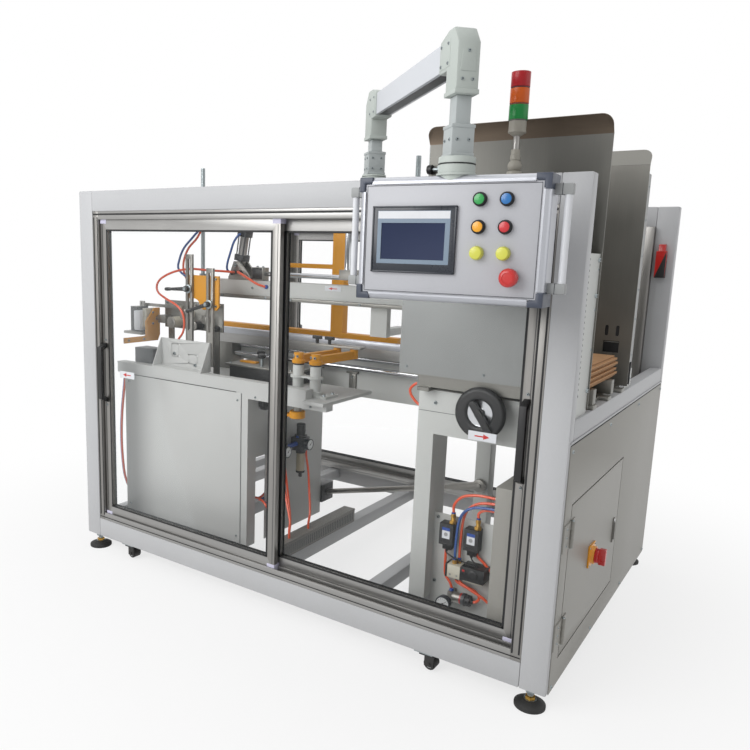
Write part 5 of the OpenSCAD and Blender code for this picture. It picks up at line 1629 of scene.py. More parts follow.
@dataclass
class OperatorPanel:
    """Edge profile, display frame, button rings and handle clamps of the panel."""

    kit: Workshop
    half: float = 225.0
    z0: float = 1137.0
    z1: float = 1423.0
    depth: float = 81.7
    rim: float = 14.0
    cap: float = 34.0
    face: float = -37.0
    screen: Pair = (-82.0, 1279.0)
    bezel_half: Pair = (104.0, 77.0)
    stop: Pair = (152.0, 1200.0)
    columns: Pair = (72.0, 132.0)
    body: str = "operator_panel"

    def build(self) -> None:
        """Make the panel's trim."""
        self._shell()
        self._border()
        self._display()
        self._buttons()
        self._handles()
        self._back()

    def _edge(self) -> list[Pair]:
        """Section of the edge profile: outwards first, then back along Y."""
        d, r = self.depth / 2, 17.0
        points = [(-self.rim, -d + 1.5), (-self.rim + 1.5, -d)]
        turns = [math.radians(90 * k / 8) for k in range(9)]
        points += [(-r + r * math.cos(t), -d + r - r * math.sin(t)) for t in reversed(turns)]
        points += [(-r + r * math.cos(t), d - r + r * math.sin(t)) for t in turns]
        points.append((-self.rim, d))
        return points

    def _shell(self) -> None:
        """Panel body: four edge profiles round the face plate and the back."""
        shell = Shape(PANEL.place())
        a, c = self.half - self.cap, self.half
        edge = self._edge()
        for flat, z in (([(v, u) for u, v in edge], self.z1), ([(v, -u) for u, v in edge], self.z0)):
            shell.plate(flat, (-a, 0, z), REAR, UP, 2 * a, Finishes.ALU_PALE)
        height = self.z1 - self.z0 - 2 * self.cap
        for flat, x in ((edge, c), ([(-u, v) for u, v in edge], -c)):
            shell.plate(flat, (x, 0, self.z0 + self.cap), RIGHT, REAR, height, Finishes.ALU_PALE)
        m = self.rim
        shell.box((-c + m, self.face, self.z0 + m), (c - m, 41, self.z1 - m), Finishes.PANEL, 0.5)
        shell.lathe((0, 0, self.z1 - m), UP, [(40, 0), (40, m), (42, m + 1), (42, m + 24), (40.5, m + 25),
                                              (40.5, m + 27), (42, m + 28), (42, m + 40.5), (41, m + 42)],
                    Finishes.CAST, 48)
        made = self.kit.piece(shell, "panel_shell", self.body, "panel_case")
        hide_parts("panel_box")

    def _border(self) -> None:
        """Fine line round the face, with clipped corners at the corner pieces."""
        line = Shape(PANEL.place())
        x = self.half - self.rim - 6
        bars = border((-x, self.z0 + self.rim + 6), (x, self.z1 - self.rim - 6), 1.1)
        line.bars(bars, (self.face - 0.5, self.face + 0.5), Finishes.BEZEL)
        self.kit.piece(line, "face_line", self.body, "panel_slate")

    def _display(self) -> None:
        """Pale frame with its top band round the display, and the raised bezel edge."""
        pane = Shape(PANEL.place())
        y0 = self.face - 6
        u, z = self.screen
        out = (u - 90, u + 90, z - 56, z + 66)
        win = (u - 80, u + 78, z - 46, z + 38)
        pane.bars((((out[0], win[3]), (out[1], out[3])), ((out[0], out[2]), (out[1], win[2])),
                   ((out[0], win[2]), (win[0], win[3])), ((win[1], win[2]), (out[1], win[3]))),
                  (y0 - 0.5, y0 + 0.6), Finishes.INNER, 0.2, 1)
        pane.box((out[0] + 1, y0 - 0.9, win[3] + 10), (out[1] - 1, y0 - 0.4, out[3] - 1), Finishes.PALE)
        w, h = self.bezel_half
        pane.bars(border((u - w, z - h), (u + w, z + h), 4), (y0 - 1.3, y0 + 1), Finishes.BEZEL, 0.6)
        self.kit.piece(pane, "display_frame", self.body, "screen")

    def _buttons(self) -> None:
        """Black rings round the coloured caps, domes on the yellow ones, dished stop button."""
        rings = Shape(PANEL.place())
        f = self.face
        for u in self.columns:
            for z in (1369.0, 1309.0):
                rings.lathe((u, f, z), FRONT, [(12, 0.5), (15.6, 0), (15.9, 2.5), (15.2, 9), (13.6, 12.6),
                                               (12.2, 13), (11.8, 10)], Finishes.SEAL, 36)
            rings.lathe((u, f, 1252), FRONT,
                        [(12, 0), (15.6, 0.2), (15.8, 3), (14.6, 13), (13, 15.4), (10, 16), (2, 16.2)],
                        Finishes.CAP_YELLOW, 36)
        stop = (self.stop[0], f, self.stop[1])
        rings.lathe(stop, FRONT, [(12, 0), (17, 0.2), (17, 8), (15, 9)], Finishes.SEAL, 36)
        rings.lathe(stop, FRONT, [(14, 12), (19.6, 13.5), (20.6, 17), (20.6, 26), (18.6, 31), (14, 33.8),
                                  (11.6, 34.2), (11, 33.2), (2, 33.5)], Finishes.RED, 40)
        self.kit.piece(rings, "button_rings", self.body, "buttons")

    def _handles(self) -> None:
        """Clamps that hold the handle tubes at the panel's sides."""
        grip = Shape(PANEL.place())
        for s in (-1, 1):
            for z in (1179.0, 1391.0):
                a, b = sorted((s * (self.half - 1), s * (self.half + 38.6)))
                grip.box((a, -10.5, z - 12), (b, 10.5, z + 12), Finishes.GREY, 3.5)
                a, b = sorted((s * (self.half + 15), s * (self.half + 16.5)))
                grip.box((a, -10.8, z - 12.3), (b, 10.8, z + 12.3), Finishes.BEZEL)
            x = s * (self.half + 28)
            grip.rod((x, 0, 1184), (x, 0, 1386), 8.2, Finishes.PALE, 0.5, 24)
        self.kit.piece(grip, "handle_clamps", self.body, "panel_grip")

    def _back(self) -> None:
        """Rear cover with its screws."""
        back = Shape(PANEL.place())
        back.box((-200, 40, 1162), (200, 42, 1398), Finishes.PANEL, 0.8)
        self.kit.piece(back, "panel_back", self.body, "panel_case")
        spots = aimed([(u, 42, z) for u in (-190, 0, 190) for z in (1172, 1388)], REAR)
        self.kit.repeats.heads("panel_back_screws", self.body, carried(PANEL.place(), spots), 8, 2.5)


def arrow_sign(shape: Shape, centre: Triple, size: Pair, way: float) -> None:
    """Add a plain arrow plate that faces the front.

    Args:
        shape: the shape to add to.
        centre: middle of the plate's rear face.
        size: its width and height.
        way: 1 for an arrow towards +X, -1 for one towards -X.
    """
    x, y, z = centre
    w, h = size[0] / 2, size[1] / 2
    shape.box((x - w, y - 1.0, z - h), (x + w, y, z + h), Finishes.PALE, 0.3, 1)
    tail = [(-0.62, -0.12), (0.1, -0.12), (0.1, -0.5), (0.62, 0), (0.1, 0.5), (0.1, 0.12), (-0.62, 0.12)]
    shape.plate([(way * 0.85 * w * u, 1.15 * h * v) for u, v in tail], (x, y - 0.9, z), RIGHT, UP, 0.5,
                Finishes.RED)


@dataclass
class DoorSigns:
    """Plain arrow plates on the two front panes, beside the handles."""

    kit: Workshop
    size: Pair = (82.0, 26.0)

    def build(self) -> None:
        """Make one plate for each front door."""
        for side, centre, way in ((Side.FRONT_LEFT, (235.3, 17.5, 763.6), -1.0),
                                  (Side.FRONT_RIGHT, (1653.8, 45.5, 754.5), 1.0)):
            shape = Shape()
            arrow_sign(shape, centre, self.size, way)
            self.kit.piece(shape, side.value + "_sign", side.value, "panel_case")


@dataclass
class Gauge:
    """A pressure gauge's face: rim, marks and hand."""

    centre: Triple
    axis: int
    out: float
    radius: float

    def build(self, kit: Workshop, name: str, body: str) -> None:
        """Make the gauge's face.

        Args:
            kit: what to build with.
            name: the piece's name.
            body: the body it rides on.
        """
        way = [0.0, 0.0, 0.0]
        way[self.axis] = self.out
        r = self.radius
        shape = Shape()
        shape.lathe(self.centre, tuple(way), [(r - 0.6, -6), (r + 1.2, -5), (r + 1.2, 0.8), (r - 1.5, 1.4),
                                              (r - 2.2, 0)], Finishes.BEZEL, 36)
        c = Vector(self.centre) + 0.25 * Vector(way)
        shape.lathe(tuple(c), tuple(way), [(r - 2.4, -0.2), (r - 2.4, 0.1), (1, 0.2)], Finishes.DIAL, 36)
        c += 0.35 * Vector(way)
        u = Vector(RIGHT) if self.axis == 1 else Vector(REAR)
        v = Vector(UP)
        side = (0.8 * u + 0.6 * v).normalized()
        tip = c + side * 0.62 * r
        shape.rod(tuple(c - side * 0.2 * r), tuple(tip), 0.7, Finishes.SEAL, 0.1, 6)
        shape.lathe(tuple(c), tuple(way), [(2.6, 0), (2.2, 1.0)], Finishes.SEAL, 12)
        kit.piece(shape, name, body, "actuator_metal")
        spots = round_spots(tuple(c), self.axis, 0.72 * r, 15)
        size = (0.8, 0.4, 2.6) if self.axis == 1 else (0.4, 0.8, 2.6)
        kit.repeats.blocks(name + "_marks", body, spots, size, Finishes.SEAL, "black_plastic")


@dataclass
class ValveTrim:
    """Valve plate and pedestal: patches, fittings, cables, gauge and screws."""

    kit: Workshop
    switches: Pair = (1497.0, 1580.0)
    face: float = 204.0
    switch_z: float = 344.0
    stem_top: float = 447.0
    solenoid_top: float = 290.0
    head_face: float = 190.0
    routes: tuple[tuple[Triple, ...], ...] = (
        ((1594, 226, 345), (1596, 228, 326), (1622, 230, 304), (1656, 231, 270), (1680, 231, 246),
         (1696, 231, 238)),
        ((1550, 214, 247), (1552, 212, 232), (1584, 206, 221), (1630, 206, 204), (1668, 212, 178),
         (1696, 216, 166)),
    )

    def build(self) -> None:
        """Make the trim of the valve plate and the pedestal."""
        self._switches()
        self._solenoid()
        self._regulator()
        self._lines()
        self._pedestal()

    def _switches(self) -> None:
        """Plain patches, noses, brass nuts and cables of the pressure switches."""
        shape = Shape()
        y, z = self.face, self.switch_z
        for x in self.switches:
            shape.box((x - 13, y - 0.7, z + 22), (x + 13, y + 0.3, z + 58), Finishes.PALE, 0.2, 1)
            shape.box((x - 13.2, y - 0.9, z + 48), (x + 13.2, y + 0.2, z + 58.2), Finishes.BLUE_TRIM, 0.2, 1)
            shape.lathe((x, y - 0.6, z + 36), FRONT, [(6.5, 0), (6.2, 0.5), (3, 0.6)], Finishes.GREY, 18)
            shape.box((x - 22, y - 1, z + 3), (x + 22, y + 2, z + 8), Finishes.BLACK, 0.8)
            stem = (x + 14, 222, z + 70)
            shape.lathe(stem, UP, [(11.5, 0.2), (11.5, 8), (10.5, 9.5), (8.2, 10)], Finishes.BRASS, 6)
            shape.lathe((x + 14, 222, self.stem_top - 12), UP, [(7.4, 0), (9, 0.5), (9, 8), (7.2, 9)],
                        Finishes.BRASS, 6)
            shape.lathe((x + 14, 222, self.stem_top - 1), UP, [(6.6, 0), (6.8, 0.6), (6.4, 5), (4.6, 6)],
                        Finishes.BLUE_TRIM, 16)
        self.kit.piece(shape, "switch_patches", "frame", "actuator_metal")
        cables = Shape()
        a, b = self.switches
        z -= 16
        cables.sweep([(a + 2, 214, z + 2), (a + 3, 211, z - 10), (a + 34, 203, z - 18), (a + 74, 203, z - 24),
                      (a + 101, 208, z - 30)], 2.3, Finishes.SEAL, 8, 6)
        cables.sweep([(b + 2, 214, z + 2), (b + 3, 212, z - 8), (b + 14, 208, z - 18),
                      (b + 29, 208, z - 30)], 2.3, Finishes.SEAL, 8, 6)
        for x in (a + 2, b + 2):
            cables.lathe((x, 214, z), DOWN, [(5, -1), (5, 4), (3.4, 7)], Finishes.BLACK, 12)
        self.kit.piece(cables, "switch_cables", "frame", "black_plastic")

    def _solenoid(self) -> None:
        """Fittings, coil and end blocks of the solenoid valve."""
        shape = Shape()
        z = self.solenoid_top
        for x, y in ((1540, 222), (1530, 210)):
            shape.lathe((x, y, z - 0.5), UP, [(8, 0), (8, 9), (6.8, 10), (6.8, 13), (5, 14)],
                        Finishes.BRASS, 6)
            shape.lathe((x, y, z + 12.5), UP, [(6.4, 0), (6.6, 0.5), (6.2, 4.5), (4.7, 5.5)],
                        Finishes.BLUE_TRIM, 16)
        shape.lathe((1538, 216, 248.5), DOWN, [(8, 0), (8, 10), (6.5, 12), (4.7, 13)], Finishes.BLACK, 16)
        shape.box((1506.6, 191, 247), (1514, 241, 291), Finishes.BLACK, 1.5)
        shape.box((1556, 190.6, 246.6), (1567, 241, 292), Finishes.BLACK, 1.5)
        shape.lathe((1600, 186.3, 276), FRONT, [(16, -1), (16, 2.2), (14, 3.4), (5, 3.6)], Finishes.BLACK, 28)
        shape.box((1566, 184.6, 282), (1574, 187, 288), Finishes.RED, 0.5)
        for x in (1524, 1546):
            shape.lathe((x, 192.2, 258), FRONT, [(3, -0.5), (3, 0.6), (1, 0.8)], Finishes.ZINC, 12)
        self.kit.piece(shape, "solenoid_trim", "frame", "actuator_metal")

    def _regulator(self) -> None:
        """Knob ribs, ring and gauge of the regulator."""
        ribs = round_spots((1581, 216, 176), 0, 17.0, 22)
        self.kit.repeats.blocks("regulator_ribs", "frame", ribs, (15, 2.0, 1.6), Finishes.BLACK,
                                "black_plastic")
        shape = Shape()
        shape.lathe((1555, 216, 176), RIGHT, [(17.2, 0), (18, 0.6), (18, 4.4), (17.2, 5)], Finishes.RED, 28)
        shape.lathe((1523, 216, 194), UP, [(7, -1), (7, 4), (5.8, 6), (4.8, 7)], Finishes.BLUE_TRIM, 16)
        shape.lathe((1589, 216, 176), RIGHT, [(8, -1), (8, 4), (6.5, 8), (4.8, 9)], Finishes.BLACK, 16)
        self.kit.piece(shape, "regulator_rings", "frame", "actuator_metal")
        Gauge((1510, 180, 158), 1, -1.0, 23.0).build(self.kit, "regulator_gauge", "frame")

    def _lines(self) -> None:
        """Two lines from the valves to the cabinet's side, each between its fittings."""
        shape = Shape()
        nose = [(7.4, -1), (7.4, 6), (6.2, 8), (4.8, 9)]
        for points in self.routes:
            shape.sweep(points, 4.5, Finishes.ORANGE, 12, 6)
            shape.lathe(points[0], DOWN, nose, Finishes.BLACK, 16)
            shape.lathe(points[-1], LEFT, nose, Finishes.BLUE_TRIM, 16)
        self.kit.piece(shape, "valve_lines", "frame", "hose")

    def _pedestal(self) -> None:
        """Seam of the pedestal's head, its screws and the plate's folded edge."""
        shape = Shape()
        y = self.head_face
        shape.box((1387, y - 0.4, 769.6), (1530, y + 0.4, 771.0), Finishes.DARK)
        shape.box((1438, 238.6, 112), (1441.6, 240.4, 432), Finishes.WHITE, 0.6)
        self.kit.piece(shape, "pedestal_seams", "frame", "white_paint")
        spots = aimed([(1442, y, 799), (1842, y, 799), (1842, y, 722)], FRONT)
        spots += aimed([(x, 240, z) for x in (1452, 1684) for z in (200, 418)], FRONT)
        self.kit.repeats.heads("pedestal_screws", "frame", spots, 12, 4.5)


@dataclass
class FilterTrim:
    """Gauges, collars and bowls of the filter regulators."""

    kit: Workshop
    rows: Pair = (290.0, 435.0)
    axis_x: float = 763.0
    gauge_x: float = 808.0
    gauge_z: float = 504.0

    def build(self) -> None:
        """Make the trim of both units."""
        shape = Shape()
        ribs: list[Spot] = []
        for y in self.rows:
            for profile in ([(17.2, 464), (19.4, 465), (19.4, 475), (18, 476)],
                            [(17.2, 384), (18, 384.6), (18, 392), (17.2, 393)],
                            [(18.2, 572), (18.6, 574), (17.4, 581.6), (14, 583), (4, 583.4)]):
                shape.lathe((self.axis_x, y, 0), UP, profile, Finishes.BLACK, 28)
            shape.box((736, y - 25, 497), (790, y + 25, 500), Finishes.SEAL, 0.6)
            ribs += round_spots((self.axis_x, y, 556), 2, 18.0, 18)
        self.kit.piece(shape, "filter_trim", "frame", "actuator_metal")
        self.kit.repeats.heads("filter_knob_ribs", "frame", ribs, 4.2, 0.9, Finishes.BLACK, "black_plastic")
        for k, y in enumerate(self.rows):
            Gauge((self.gauge_x, y, self.gauge_z), 0, 1.0, 21.0).build(self.kit, f"filter_gauge_{k}", "frame")


@dataclass
class TableTrim:
    """Cover, bolts and hoses of the worktable."""

    kit: Workshop
    face: float = 150.0
    cover: Pair = (76.0, 694.0)
    cover_z: Pair = (160.0, 735.0)

    def build(self) -> None:
        """Make the table's trim."""
        shape = Shape()
        x0, x1 = self.cover
        z0, z1 = self.cover_z
        shape.box((x0, self.face - 2, z0), (x1, self.face + 0.5, z1), Finishes.TABLE, 1.4)
        shape.box((x0 + 2, self.face - 1.2, z1 + 0.2), (x1 - 24, self.face + 0.4, z1 + 2.6), Finishes.SEAL)
        shape.box((x1 + 1, self.face - 0.5, z0), (x1 + 3, self.face + 0.3, z1), Finishes.DARK)
        shape.box((24, 149.2, 778.5), (980.6, 191, 782.6), Finishes.TABLE, 1.6)
        shape.lathe((725, 231, 690), RIGHT, [(20, 0), (24, 1.5), (24, 20), (22, 26), (8, 29)],
                    Finishes.BLACK, 32)
        shape.lathe((725, 231, 690), RIGHT, [(24.2, 3), (25, 3.4), (25, 6), (24.2, 6.4)], Finishes.CHROME, 32)
        arrow_sign(shape, (933.5, 369.6, 1118), (69, 18), -1.0)
        self.kit.piece(shape, "table_cover", "frame", "white_paint")
        spots = aimed([(x, self.face - 2, z) for x in (x0 + 20, x1 - 16) for z in (185, 707)], FRONT)
        spots += aimed([(1001, 150, 728), (760, 150, 728)], FRONT)
        self.kit.repeats.heads("table_screws", "frame", spots, 9, 2.5)
        spots = aimed([(300, 206, 836), (412, 206, 800)], FRONT)
        spots += aimed([(1016, y, 758) for y in (207, 261)] + [(874, 261, 758)], UP)
        self.kit.repeats.heads("table_bolts", "frame", spots, 13, 6)
        self._deck()
        self._hoses()

    def _deck(self) -> None:
        """Slide plate on its dark riser, with clamping knobs, a yellow shoe and the side beam's bracket."""
        shape = Shape()
        shape.box((470, 312, 798), (806, 524, 806), Finishes.STAINLESS, 1.5)
        shape.box((480, 330, 737), (798, 518, 798.5), Finishes.BLACK, 1.0)
        shape.box((498, 372, 805.5), (578, 396, 813), Finishes.YELLOW, 1.2)
        for x, y in ((628, 350), (734, 350), (560, 430)):
            shape.rod((x, y, 805.5), (x, y, 838), 6, Finishes.ZINC, 0.5, 16)
            shape.lathe((x, y, 834), UP, [(9, 0), (16, 3), (18, 7), (18, 13), (14, 18), (5, 20)],
                        Finishes.BLACK, 24)
        shape.box((878, 592, 700), (909, 600.5, 784), Finishes.STAINLESS, 1.0)
        shape.box((868, 586, 778), (919, 600.4, 786), Finishes.STAINLESS, 1.0)
        shape.box((242, 536, 853), (1376, 540, 918), Finishes.ALU_X, 1.2)
        shape.box((242, 533, 893), (1376, 560, 918), Finishes.ALU_PALE, 1.4)
        shape.box((238, 536.5, 737.5), (312, 540.5, 905), Finishes.STAINLESS, 1.0)
        shape.box((1372, 536.5, 780), (1386, 542, 912), Finishes.STAINLESS, 1.0)
        self.kit.piece(shape, "slide_plate", "frame", "stainless")
        spots = aimed([(893, 592, z) for z in (716, 764)], FRONT)
        spots += aimed([(x, y, 806) for x in (490, 786) for y in (326, 508)], UP)
        self.kit.repeats.heads("slide_plate_bolts", "frame", spots, 10, 4)

    def _hoses(self) -> None:
        """Two lines beside the table, held at the tube and at the floor beam."""
        for name, x, y, finish in (("orange_line", 52.0, 166.0, Finishes.ORANGE),
                                   ("blue_line", 41.0, 172.0, Finishes.BLUE)):
            shape = Shape()
            shape.sweep([(x, y, 739), (x, y, 712), (x - 9, y, 650), (x - 21, y, 570), (x - 28, y, 470),
                         (x - 24, y, 370), (x - 8, y, 280), (x + 30, y + 8, 205), (x + 62, y + 14, 168),
                         (x + 68, y + 16, 149)], 4.5, finish, 12, 6)
            for p, way in (((x, y, 739), DOWN), ((x + 68, y + 16, 149), UP)):
                shape.lathe(p, way, [(7.5, 0), (7.5, 9), (6.2, 12), (4.8, 13)], Finishes.BRASS, 6)
            self.kit.piece(shape, name, "frame", "hose")
        bundle = Shape()
        for k, finish in enumerate((Finishes.ORANGE, Finishes.BLUE, Finishes.ORANGE)):
            y, z = -11.0 * k, 7.0 * k
            line = [(721, 276, 296), (706, 273, 300), (702, 250, 306), (724, 246, 308), (756, 242, 296),
                    (786, 240, 258), (802, 238, 214), (820, 236, 186), (850, 234, 172)]
            points = [(a, b + y, c + z) for a, b, c in line]
            points[0] = (721.0, 276.0, 296.0 + 20 * k)
            points[-1] = (850.0, 234.0 + y, 172.0)
            bundle.sweep(points, 4.5, finish, 12, 6)
            for p in (points[0], points[-1]):
                bundle.lathe(p, LEFT, [(7.2, -1), (7.2, 6), (6, 8), (4.8, 9)], Finishes.BLACK, 16)
        self.kit.piece(bundle, "floor_lines", "frame", "hose")


@dataclass
class FormingTrim:
    """Threads, washers, bolts and grips of the forming station."""

    kit: Workshop
    rods: Pair = (270.0, 1234.0)
    path_y: float = 400.0
    rod_r: float = 8.0
    levers: tuple[Triple, Triple] = ((374.0, 1094.0, 3.0), (482.0, 1041.0, 17.0))

    def build(self) -> None:
        """Make the trim of the forming station."""
        spots = aimed([(x, self.path_y, z) for x in self.rods for z in (1147, 1450)], UP)
        for name, part, length in (("low", spots[::2], 222.0), ("high", spots[1::2], 114.0)):
            self.kit.repeats.threads("rod_thread_" + name, "frame", part, self.rod_r - 0.5, length, 3.4,
                                     Finishes.ZINC, "bright_steel")
        shape = Shape()
        for x in self.rods:
            for z in (1131.2, 1366, 1435.2):
                shape.lathe((x, self.path_y, z), UP, [(9, 0), (20, 0.2), (20, 2.6), (9, 2.8)],
                            Finishes.ZINC, 28)
        for x, z, droop in self.levers:
            shape.lathe((x, 188.4, z), FRONT, [(8, -1), (8, 4), (6.5, 5.5), (2, 5.6)], Finishes.ZINC, 6)
            shape.lathe((x, 204, z), FRONT, [(17, -2), (17, 1.5), (15, 2.2)], Finishes.ZINC, 28)
            t = math.radians(droop)
            tip = (x - 112 * math.cos(t), 196, z - 112 * math.sin(t))
            way = (-math.cos(t), 0, -math.sin(t))
            shape.lathe(tip, way, [(5, -30), (6.5, -26), (7.2, -8), (6, 0), (2, 2.5)], Finishes.BLACK, 16)
        self.kit.piece(shape, "forming_trim", "frame", "bright_steel")
        spots = aimed([(x, 220, z) for x, z in ((360, 1136), (506, 1136), (506, 1034))], FRONT)
        spots += aimed([(130, y, z) for y, z in ((250, 940), (250, 985), (200, 879), (120, 879))], RIGHT)
        spots += aimed([(x, 370, 1103) for x in (300, 560, 700, 1180)], FRONT)
        spots += aimed([(x, 350, 1068.5) for x in (280, 420, 640, 760, 1060)], FRONT)
        self.kit.repeats.heads("forming_bolts", "frame", spots, 10, 4)
        self._press()
        self._heads()

    def _press(self) -> None:
        """Ports and caps of the press cylinder, and the stop block's screws."""
        shape = Shape()
        for p in ((470, 372, 1160), (497, 372, 1162), (456, 372, 1156), (495, 378, 1306)):
            shape.lathe(p, FRONT, [(7.6, -0.5), (7.6, 6), (6, 8), (4.8, 9)], Finishes.BLACK, 16)
        for p in ((250, 370, 1112), (276, 370, 1112), (630, 370, 1110)):
            shape.lathe(p, FRONT, [(8, -0.5), (8, 7), (6.4, 9), (4.8, 10)], Finishes.BLUE_TRIM, 16)
        shape.box((548, 379.2, 1136), (599, 420.8, 1181.4), Finishes.BLACK, 2)
        self.kit.piece(shape, "press_trim", "frame", "actuator_metal")
        spots = aimed([(x, 400, 1182) for x in (560, 587)], UP)
        spots += aimed([(475, 367.5, 1187)], FRONT)
        self.kit.repeats.heads("press_screws", "frame", spots, 11, 5)

    def _heads(self) -> None:
        """Covers and screws of the sensor head and the taping head."""
        shape = Shape()
        shape.box((62, 213.6, 764), (166, 216, 830), Finishes.DARK, 1)
        shape.box((57, 214, 916), (93, 216, 988), Finishes.PALE, 1.5)
        for x, z, r in ((230, 951, 22), (300, 987, 20), (355, 945, 17), (412, 973, 15), (446, 939, 11)):
            shape.lathe((x, 254, z), FRONT, [(r - 1, -3), (r + 1, -2.5), (r + 1, -0.5), (r - 1, 0.4),
                                             (r * 0.5, 0.4), (r * 0.45, 2), (2, 2.2)], Finishes.STEEL, 28)
        self.kit.piece(shape, "head_covers", "frame", "actuator_metal")
        spots = aimed([(x, 299.8, z) for x in (162, 330, 458) for z in (936, 1026)], FRONT)
        self.kit.repeats.heads("head_screws", "frame", spots, 9, 3.5)


@dataclass
class FlapTrim:
    """Collars, bolts and crank of the flap linkage."""

    kit: Workshop
    front: Pair = (970.0, 221.0)
    rear: Pair = (899.0, 217.0)
    angle: float = 86.0
    reach: float = 226.0
    foot: float = 862.3
    height: float = 36.0

    def build(self) -> None:
        """Make the linkage's trim."""
        collars = Shape()
        for x, y in (self.front, self.rear):
            collars.lathe((x, y, 856), UP, [(19.2, 0), (20.4, 0.5), (20.4, 5.2), (19.2, 5.8)],
                          Finishes.BLACK, 36)
            collars.lathe((x, y, 758), UP, [(23, 6), (24.2, 6.6), (24.2, 8.4), (19.8, 11.5)],
                          Finishes.WHITE, 40)
        self.kit.piece(collars, "column_collars", "frame", "white_paint")
        for body, place in (("front_flap_arm", self.front), ("rear_flap_arm", self.rear)):
            self._arm(body, place)
        self._crank()

    def _arm(self, body: str, place: Pair) -> None:
        """Caps, ribs and bolts of one arm.

        Args:
            body: the arm's body.
            place: its column's axis.
        """
        x, y = place
        top = self.foot + self.height
        turn = Matrix.Translation((x, y, 0)) @ Matrix.Rotation(math.radians(self.angle), 4, "Z")
        shape = Shape(turn)
        shape.lathe((0, 0, top), UP, [(13, -0.6), (13, 0.1), (11, 0.2), (10, -0.4)], Finishes.YELLOW, 36)
        shape.lathe((0, 0, self.foot), UP, [(22.6, 3.6), (23.8, 4.4), (23.8, 10), (20, 13.4), (17.2, 15)],
                    Finishes.YELLOW, 36)
        for s in (-1, 1):
            a, b = sorted((s * 8.4, s * 10.6))
            shape.box((20, a, self.foot + 24), (self.reach - 60, b, self.foot + 28.4), Finishes.YELLOW, 1.0)
        self.kit.piece(shape, body + "_ribs", body, "yellow_paint")
        spots: list[Spot] = []
        for a in (self.angle + 150, self.angle + 205):
            c, s = math.cos(math.radians(a)), math.sin(math.radians(a))
            spots.append(((x + 16.8 * c, y + 16.8 * s, top - 12), (c, s, 0)))
        self.kit.repeats.heads(body + "_bolts", body, spots, 10, 5)

    def _crank(self) -> None:
        """Crank of the rear arm below the shelf, with its rod end."""
        x, y = self.rear
        shape = Shape()
        shape.lathe((x, y, 660), UP, [(14, 0), (15, 1), (15, 77), (14, 77.6)], Finishes.STEEL, 28)
        shape.lathe((x, y, 664), UP, [(27, 0), (28.5, 1.5), (28.5, 24), (27, 25.5)], Finishes.YELLOW, 36)
        turn = Shape(Matrix.Translation((x, y, 0)) @ Matrix.Rotation(math.radians(200), 4, "Z"))
        turn.box((10, -13, 667), (66, 13, 679), Finishes.YELLOW, 3)
        turn.lathe((66, 0, 667), UP, [(15, 0), (16.5, 1.2), (16.5, 11), (15, 12)], Finishes.YELLOW, 32)
        turn.lathe((66, 0, 679), UP, [(8, -0.5), (8, 7), (10.5, 8), (10.5, 19), (8, 20)], Finishes.ZINC, 24)
        self.kit.piece(shape, "crank_hub", "rear_flap_arm", "yellow_paint")
        self.kit.piece(turn, "crank_arm", "rear_flap_arm", "yellow_paint")


@dataclass
class DuctTrim:
    """Slots and cover of the wire duct."""

    kit: Workshop
    sides: Pair = (850.0, 900.0)
    span: Pair = (120.0, 640.0)
    step: float = 12.5

    def build(self) -> None:
        """Make the duct's trim."""
        a, b = self.sides
        y0, y1 = self.span
        count = int((y1 - y0 - 20) / self.step)
        spots: list[Spot] = []
        for k in range(count):
            y = y0 + 14 + k * self.step
            spots += [((a, y, 176), UP), ((b, y, 176), UP)]
        self.kit.repeats.blocks("duct_slots", "frame", spots, (0.8, 5.5, 34), Finishes.DARK, "black_plastic")
        lid = Shape()
        lid.box((a - 1.6, y0 - 0.5, 197), (b + 1.6, y1 + 0.5, 206.2), Finishes.DUCT, 1.4)
        self.kit.piece(lid, "duct_lid", "frame", "black_plastic")


